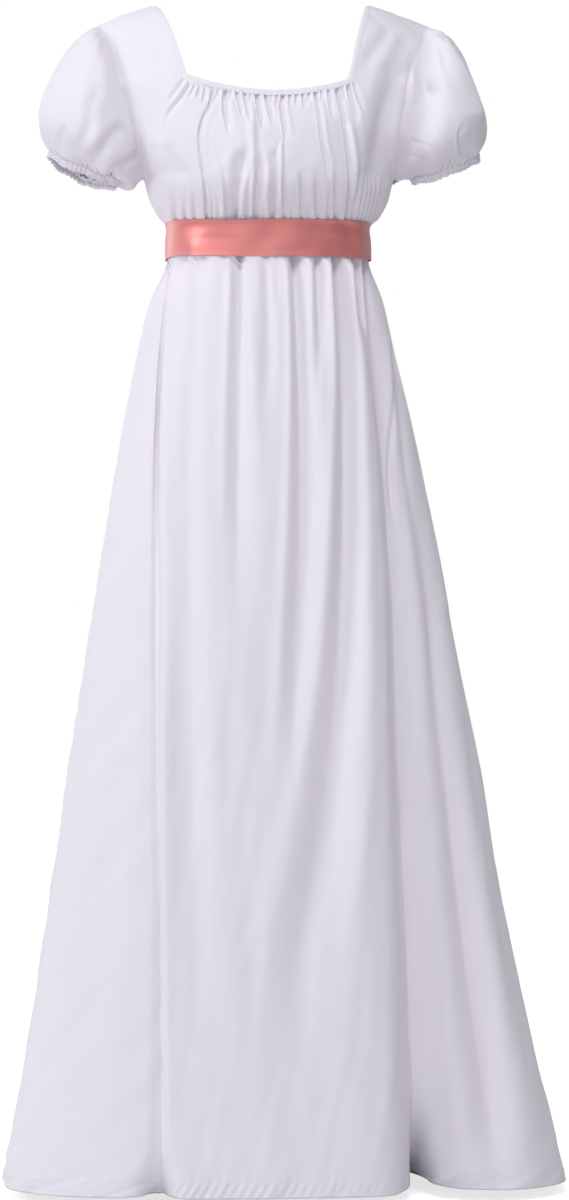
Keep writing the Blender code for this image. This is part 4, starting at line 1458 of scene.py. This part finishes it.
@dataclass
class Sleeve:
    """A puff sleeve, gathered at its head and drawn up over elastic at the arm.

    Its side is -1 on the wearer's right and 1 on the left. The sizes after that say how far it
    departs from the loops: wider at its head and low down, lower under the arm, its cuff raised
    in front and dropped behind, and slimmer half way.
    """

    name: str
    side: float
    head: float
    widen: float
    drop: float
    front_rise: float
    back_drop: float
    slim: float
    creases: tuple[Crease, ...]
    columns: int = 340
    rows: int = 76
    cuff_rows: int = 13
    cuff_width: float = 0.0085
    stitched: float = 0.62  # share of the cuff's width that its elastic takes
    ruffles: int = 47
    head_gathers: int = 12
    cuff_cut: Pair = (0.28, 0.0102)
    cut_size: Pair = (0.45, 0.245)
    cut_area: float = 0.068

    def loops(self, front: Bodice, back: Bodice) -> np.ndarray:
        """Loops of the sleeve before it is creased, each starting at the shoulder.

        Args:
            front: The front of the bodice.
            back: The back of the bodice.

        Returns:
            Points in rows from the armhole to the cuff.
        """
        half = self.columns // 2
        edges = []
        for side in (front, back):
            line = side.edge(self.side)
            length = run_along(line)
            edges.append(picked(np.linspace(0.0, length[-1], half + 1), length, line))
        start = np.concatenate([edges[0][:-1], edges[1][:0:-1]])
        start[half] = (edges[0][-1] + edges[1][-1]) / 2
        turn = self.turn()
        loops = [start]
        for loop in SLEEVE_LOOPS:
            widen = self.head * bell(loop.along - 0.15, 0.2)
            widen += self.widen * bell(loop.along - 0.75, 0.3)
            widen -= self.slim * bell(loop.along - 0.45, 0.24)
            top = np.array([self.side * (loop.top_x + widen), 0.0, loop.top_z])
            drop = self.drop * rise(loop.along / 0.3)
            drop *= 1 - 0.7 * rise((loop.along - 0.6) / 0.4)
            foot = np.array([self.side * loop.foot_x, 0.0, loop.foot_z - drop])
            line = (top + foot) / 2 + np.cos(turn)[:, None] * (top - foot) / 2
            line[:, 1] = -loop.depth * np.sin(turn)
            tilt = np.where(np.sin(turn) > 0, self.front_rise, -self.back_drop)
            line[:, 2] += tilt * np.abs(np.sin(turn)) * loop.along**2
            loops.append(line)
        stations = [0.0] + [loop.along for loop in SLEEVE_LOOPS]
        return smooth_rows(stations, np.array(loops), np.linspace(0.0, 1.0, self.rows + 1))

    def turn(self) -> np.ndarray:
        """Angles of the columns round the arm, from the shoulder by the front."""
        return np.arange(self.columns) * math.tau / self.columns

    def ruffle(self, turn: np.ndarray) -> np.ndarray:
        """Uneven round ruffles with thin pleats between them, from 0 on a crest to 1 in a pleat.

        Args:
            turn: Angles round the arm.

        Returns:
            Depths from 0 to about 1.
        """
        drift = 1.6 * np.sin(2 * turn + 0.6) + 1.3 * np.sin(5 * turn + self.side) + 0.9 * np.sin(9 * turn)
        crest = np.abs(np.sin((self.ruffles * turn + drift) / 2))
        size = 0.62 + 0.26 * np.sin(7 * turn + 1.9 * self.side) + 0.16 * np.sin(17 * turn + 0.7)
        return (1 - crest**0.7) * size

    def grid(self, front: Bodice, back: Bodice, face: Face) -> np.ndarray:
        """Grid of the creased sleeve.

        Args:
            front: The front of the bodice.
            back: The back of the bodice.
            face: Which side of the grid faces out.

        Returns:
            Points in rows and columns.
        """
        grid = self.loops(front, back)
        normals = outward(grid, True, face)
        facing = rise((-normals[..., 1] + 0.15) / 0.35)
        turn = self.turn()
        along = np.linspace(0.0, 1.0, self.rows + 1)[:, None]
        dips = creased(self.creases, grid) * facing
        dips += self.head_dips(turn, along) * (1 - 0.75 * facing * rise(along / 0.10))
        start = 0.84 + 0.05 * np.sin(6 * turn + 2.0) + 0.04 * np.sin(13 * turn + self.side)
        reach = rise((along - start) / (1.02 - start))
        dips += (0.0054 * self.ruffle(turn) + 0.0004) * reach
        big = np.sin(11 * turn + 0.9 * np.sin(3 * turn) + self.side)
        dips += 0.0016 * (0.5 - 0.5 * big) * rise((along - 0.55) / 0.3) * (1 - 0.7 * facing)
        dips += restless(turn * 0.07 + 0 * along, grid[..., 2], 0.0012, 3.3 + self.side) * rise(along / 0.2)
        dips *= rise(along / 0.03)
        return grid - normals * dips[..., None]

    def head_dips(self, turn: np.ndarray, along: np.ndarray) -> np.ndarray:
        """Short gathers that ease the head of the sleeve into the shoulder.

        Args:
            turn: Angles round the arm.
            along: Shares of the way from the armhole to the cuff.

        Returns:
            Depths, one row for each share.
        """
        dips = np.zeros((len(along), len(turn)))
        for index in range(self.head_gathers):
            middle = (index - (self.head_gathers - 1) / 2) * 0.105 - 0.22 + uneven(index, 0.035)
            away = (turn - middle + math.pi) % math.tau - math.pi
            length = 0.14 + uneven(index + 2, 0.08)
            depth = 0.0019 + uneven(index + 6, 0.0009)
            width = 0.026 * (1 + 1.2 * along / 0.3)
            dips += depth * bell(away, width) * rise((length - along) / length) * rise(along / 0.015)
        return dips

    def cuff_grid(self, last: np.ndarray) -> np.ndarray:
        """Grid of the elastic edge: a drawn-in channel and a little frill below it.

        Args:
            last: The last loop of the creased sleeve.

        Returns:
            Points in rows and columns.
        """
        quarter = len(last) // 4
        smooth = last
        for _ in range(12):
            smooth = eased(smooth)
        axis = unit(np.cross(smooth[0] - smooth[2 * quarter], smooth[quarter] - smooth[3 * quarter]))
        axis *= -math.copysign(1.0, axis[2])
        out = unit(smooth - last.mean(axis=0))
        turn = self.turn()
        pleat = self.ruffle(turn)
        tilt = 0.30 * np.sin(4 * turn + self.side) + 0.35 * np.sin(11 * turn + 2.0)
        rows = []
        for share in np.linspace(0.0, 1.0, self.cuff_rows):
            channel = 0.0008 * math.sin(math.pi * min(share / self.stitched, 1.0))
            neck = -0.0004 * bell(share - 0.66, 0.10)
            flare = rise((share - 0.68) / 0.32)
            down = 0.0004 + share * self.cuff_width + 0.0004 * flare * (tilt - pleat)
            spread = channel + neck - 0.0006 * pleat * share**0.3
            calm = 0.60 * rise(share / 0.6)
            rows.append(last + (smooth - last) * calm + axis * down[:, None] + out * spread[:, None])
        return np.array(rows)

    def build(self, sides: tuple[Bodice, Bodice], cloth: bpy.types.Material,
              edge: bpy.types.Material, thread: bpy.types.Material) -> None:
        """Make the sleeve and its cuff and sew the elastic channel.

        Args:
            sides: The front and the back of the bodice.
            cloth: The crepe.
            edge: The crepe of the elastic edges.
            thread: The thread.
        """
        face = Face.ALONG if self.side > 0 else Face.AGAINST
        made = lay_sheet(f"sleeve_{self.name}_cloth", self.grid(*sides, face), face, cloth, ring=True)
        belongs(made.piece, f"sleeve_{self.name}")
        strip = self.cuff_grid(made.grid[-1])
        cuff = lay_sheet(f"cuff_{self.name}_edge", strip, face, edge, ring=True, wall=0.0006)
        belongs(cuff.piece, f"cuff_{self.name}")
        row = round(self.cuff_rows * self.stitched)
        line, normals = cuff.grid[row], cuff.normals[row]
        sewn = stitch_row(f"cuff_stitches_{self.name}", line, normals, thread, closed=True)


# ---------------------------------------------------------------- neck edge and sash


@dataclass
class NeckElastic:
    """The narrow elastic casing round the whole neckline, ruched across the front and the back."""

    width: float = 0.0060
    columns: int = 900
    rows: int = 10
    ruches: int = 330
    cut_size: Pair = (1.28, 0.010)
    cut_area: float = 0.0085

    def grid(self, front: Bodice, back: Bodice) -> np.ndarray:
        """Grid of the casing, crowned across and ruched along.

        Args:
            front: The front of the bodice.
            back: The back of the bodice.

        Returns:
            Points in rows and columns.
        """
        ends = zip(front.neck_edge(), back.neck_edge())
        points, out = (np.concatenate([ahead[:-1], behind[::-1][:-1], ahead[:1]]) for ahead, behind in ends)
        length = run_along(points)
        stops = np.linspace(0.0, length[-1], self.columns, endpoint=False)
        points, out = picked(stops, length, points), picked(stops, length, out)
        for _ in range(36):
            points = eased(points)
            out = unit(eased(out, 3))
        foot = points - 0.0016 * out
        run = points + (self.width - 0.0004) * out - foot
        share = np.linspace(0.0, 1.0, self.rows)[:, None]
        grid = foot + run * share[..., None]
        normals = outward(grid, True, Face.ALONG)
        phase = math.tau * self.ruches * stops / length[-1]
        ruche = np.sin(phase + 1.3 * np.sin(phase / 7.3) + 0.9 * np.sin(phase / 3.1))
        ruche *= (0.15 + 0.85 * np.abs(out[:, 2]) ** 1.5) * (0.75 + 0.25 * np.sin(phase / 11.0 + 1.0))
        crown = 0.0006 * np.sin(math.pi * share) + 0.0002 + 0.0002 * rise((0.35 - share) / 0.35)
        crown = crown + 0.0006 * ruche * (0.65 + 0.35 * np.cos(math.tau * share))
        rim = 0.0003 * ruche * (rise((share - 0.7) / 0.3) - rise((0.25 - share) / 0.25))
        return grid + normals * crown[..., None] + unit(run) * rim[..., None]

    def build(self, sides: tuple[Bodice, Bodice], edge: bpy.types.Material,
              thread: bpy.types.Material) -> None:
        """Make the casing and its row of stitches.

        Args:
            sides: The front and the back of the bodice.
            edge: The crepe of the elastic edges.
            thread: The thread.
        """
        made = lay_sheet("neck_elastic", self.grid(*sides), Face.ALONG, edge, ring=True, wall=0.0014)
        belongs(made.piece, "neck_binding")
        sewn = stitch_row("neck_stitches", made.grid[1], made.normals[1], thread, closed=True)


@dataclass
class Sash:
    """The satin ribbon round the waist, its end lapped over its start at the back."""

    top_z: float = -0.2625
    foot_z: float = -0.3035
    clearance: float = 0.0022
    lap_lift: float = 0.0020
    columns: int = 420
    rows: int = 18
    cut_size: Pair = (0.70, 0.042)
    ripples: tuple[Crease, ...] = (
        Crease(((4, -290), (50, -279), (105, -270)), (-0.8, -0.8), (7, 7)),
        Crease(((-102, -268), (-82, -281), (-70, -302)), (0.8, 0.8), (10, 10)),
        Crease(((-50, -264), (-34, -283), (-26, -302)), (-1.9, -1.9), (16, 16)),
        Crease(((2, -264), (12, -283), (16, -302)), (0.7, 0.7), (12, 12)),
        Crease(((84, -264), (90, -283), (92, -302)), (1.8, 1.8), (8, 8)),
        Crease(((102, -264), (105, -283), (106, -302)), (-1.2, -1.2), (6, 6)),
    )

    def grid(self) -> np.ndarray:
        """Grid of the ribbon, a little wavy, with firm edges.

        Returns:
            Points in rows and columns.
        """
        share = np.linspace(-1.03, 1.03, self.columns + 1)
        lap = rise((share - 0.86) / 0.10)
        rows = []
        for across in np.linspace(0.0, 1.0, self.rows + 1):
            z = self.foot_z + (self.top_z - self.foot_z) * across
            held = max(z, -0.292 + 0.35 * (z + 0.292))
            around = Round(SKIRT_LEVELS if z < WAIST_Z else BODICE_LEVELS, held, self.clearance)
            x, y, out_x, out_y = around.points(share)
            lift = lap * self.lap_lift + 0.0008 * math.sin(math.pi * across)
            lift = lift + 0.0003 * bell(min(across, 1 - across), 0.04)
            lift = lift + 0.0005 * np.sin(19 * share + 2.6 * across)
            lift = lift + 0.0004 * np.sin(43 * share - 3.1 * across + 1.0)
            side_rise = 0.0035 * (x / 0.12) ** 2 + 0.0006 * np.sin(14 * share)
            heights = z + side_rise * np.where(share < 0, 1.0, 0.55 + 0.35 * across)
            rows.append(np.stack([x + lift * out_x, y + lift * out_y, heights], axis=1))
        grid = np.array(rows)
        normals = outward(grid, False, Face.ALONG)
        dips = creased(self.ripples, grid) * rise(-normals[..., 1] / 0.3)
        return grid - normals * dips[..., None]

    def build(self, satin: bpy.types.Material, thread: bpy.types.Material) -> None:
        """Make the ribbon and sew its lapped end.

        Args:
            satin: The ribbon's finish.
            thread: The thread of the lapped end.
        """
        made = lay_sheet("sash_ribbon", self.grid(), Face.ALONG, satin)
        belongs(made.piece, "sash")
        line, normals = made.grid[1:-1, -8], made.normals[1:-1, -8]
        sewn = stitch_row("sash_stitches", line, normals, thread)


# ---------------------------------------------------------------- studio


@dataclass(frozen=True)
class Lamp:
    """One soft square light, aimed at a height on the gown's middle line."""

    name: str
    place: Place
    aim_z: float
    size: float
    power: float


@dataclass
class Studio:
    """Pale floor, soft lights and the camera."""

    floor_z: float = -1.385
    floor_radius: float = 9.0
    ambient: float = 0.32
    ambient_colour: Colour = (1.0, 0.955, 0.99)
    lamp_colour: Colour = (0.97, 0.98, 1.0)
    lamps: tuple[Lamp, ...] = (
        Lamp("key", (-3.9, -1.6, 0.9), -0.6, 1.3, 47.0),
        Lamp("top", (-0.4, -2.3, 3.1), -0.4, 1.6, 76.0),
        Lamp("front", (-1.2, -6.2, -0.8), -0.7, 4.0, 71.0),
        Lamp("rim", (-3.0, 3.0, 0.0), -0.7, 4.0, 54.0),
    )
    camera_at: Place = (-0.3706, -4.4848, -0.699)
    camera_yaw: float = -5.0
    lens: float = 115.155

    def camera(self) -> None:
        """Stand the camera level with the knees, a little to the wearer's right."""
        data = bpy.data.cameras.new("camera")
        data.lens = self.lens
        data.sensor_width = 36.0
        data.clip_end = 60.0
        view = bpy.data.objects.new("camera", data)
        view.location = self.camera_at
        view.rotation_euler = (math.radians(90.0), 0.0, math.radians(self.camera_yaw))
        bpy.context.scene.collection.objects.link(view)
        bpy.context.scene.camera = view

    def floor(self, paper: bpy.types.Material) -> None:
        """Lay a wide round floor just under the hem.

        Args:
            paper: Its finish.
        """
        disc = bmesh.new()
        bmesh.ops.create_circle(disc, cap_ends=True, segments=96, radius=self.floor_radius)
        bmesh.ops.translate(disc, verts=disc.verts, vec=(0.0, 0.0, self.floor_z))
        finished("studio_floor", disc, paper)

    def surround(self) -> None:
        """White surroundings that light the gown only as much as they are asked to."""
        bench = Bench(bpy.data.worlds.new("studio_surround"))
        soft, white = (
            bench.add("ShaderNodeBackground", {}, {"Color": (*colour, 1.0), "Strength": strength})
            for colour, strength in ((self.ambient_colour, self.ambient), ((1.0, 1.0, 1.0), 1.0))
        )
        sockets = {0: bench.seen_directly(), 1: soft.outputs[0], 2: white.outputs[0]}
        mix = bench.add("ShaderNodeMixShader", {}, sockets)
        bench.feed(bench.tree.nodes["World Output"].inputs["Surface"], mix.outputs[0])
        bpy.context.scene.world = bench.owner

    def light(self, lamp: Lamp) -> None:
        """Hang one lamp.

        Args:
            lamp: Its place, aim, size and power.
        """
        data = bpy.data.lights.new(lamp.name, "AREA")
        data.shape = "SQUARE"
        data.size = lamp.size
        data.energy = lamp.power
        data.color = self.lamp_colour
        hung = bpy.data.objects.new(lamp.name, data)
        hung.location = lamp.place
        aim = Vector((0.0, 0.0, lamp.aim_z)) - Vector(lamp.place)
        hung.rotation_euler = aim.to_track_quat("-Z", "Y").to_euler()
        bpy.context.scene.collection.objects.link(hung)

    def build(self, paper: bpy.types.Material) -> None:
        """Set the whole studio.

        Args:
            paper: The finish of the floor.
        """
        self.camera()
        self.floor(paper)
        self.surround()
        for lamp in self.lamps:
            self.light(lamp)
        bpy.context.scene.view_settings.view_transform = "Standard"


def main() -> None:
    """Dress the gown and set the studio."""
    logging.basicConfig(level=logging.INFO, format="%(name)s: %(message)s")
    Studio().build(Paper().make())
    cloth = Crepe().make()
    edge = Crepe(name="elastic_crepe", crinkle_depth=0.0003).make()
    satin = Satin().make()
    thread = Thread().make()
    coral = Thread(name="coral_thread", colour=(0.80, 0.30, 0.285)).make()
    front_creases = NECK_CREASES + WAIST_CREASES + STRAP_CREASES
    sides = (
        Bodice(
            Part.FRONT, strap_columns=64, middle_columns=404, body_rows=72, strap_rows=40, neck_z=-0.1020,
            neck_sag=0.0170, corners=(0.1025, 0.0920), creases=front_creases, cut_size=(0.46, 0.30),
            cut_area=0.098,
        ),
        Bodice(
            Part.BACK, strap_columns=40, middle_columns=300, body_rows=64, strap_rows=36, neck_z=-0.0950,
            neck_sag=0.0050, corners=(0.1000, 0.1120), creases=back_creases(), cut_size=(0.42, 0.30),
            cut_area=0.090,
        ),
    )
    for side in sides:
        side.build(cloth)
    for sleeve in (
        Sleeve("right", -1.0, head=-0.003, widen=0.004, drop=0.006, front_rise=-0.0110, back_drop=0.0120,
               slim=0.0015, creases=RIGHT_SLEEVE_CREASES),
        Sleeve("left", 1.0, head=0.002, widen=0.000, drop=-0.008, front_rise=-0.0085, back_drop=-0.0040,
               slim=0.0060, creases=LEFT_SLEEVE_CREASES),
    ):
        sleeve.build(sides, cloth, edge, thread)
    NeckElastic().build(sides, edge, thread)
    Sash().build(satin, coral)
    Skirt().build(cloth, thread)


if __name__ == "__main__":
    main()
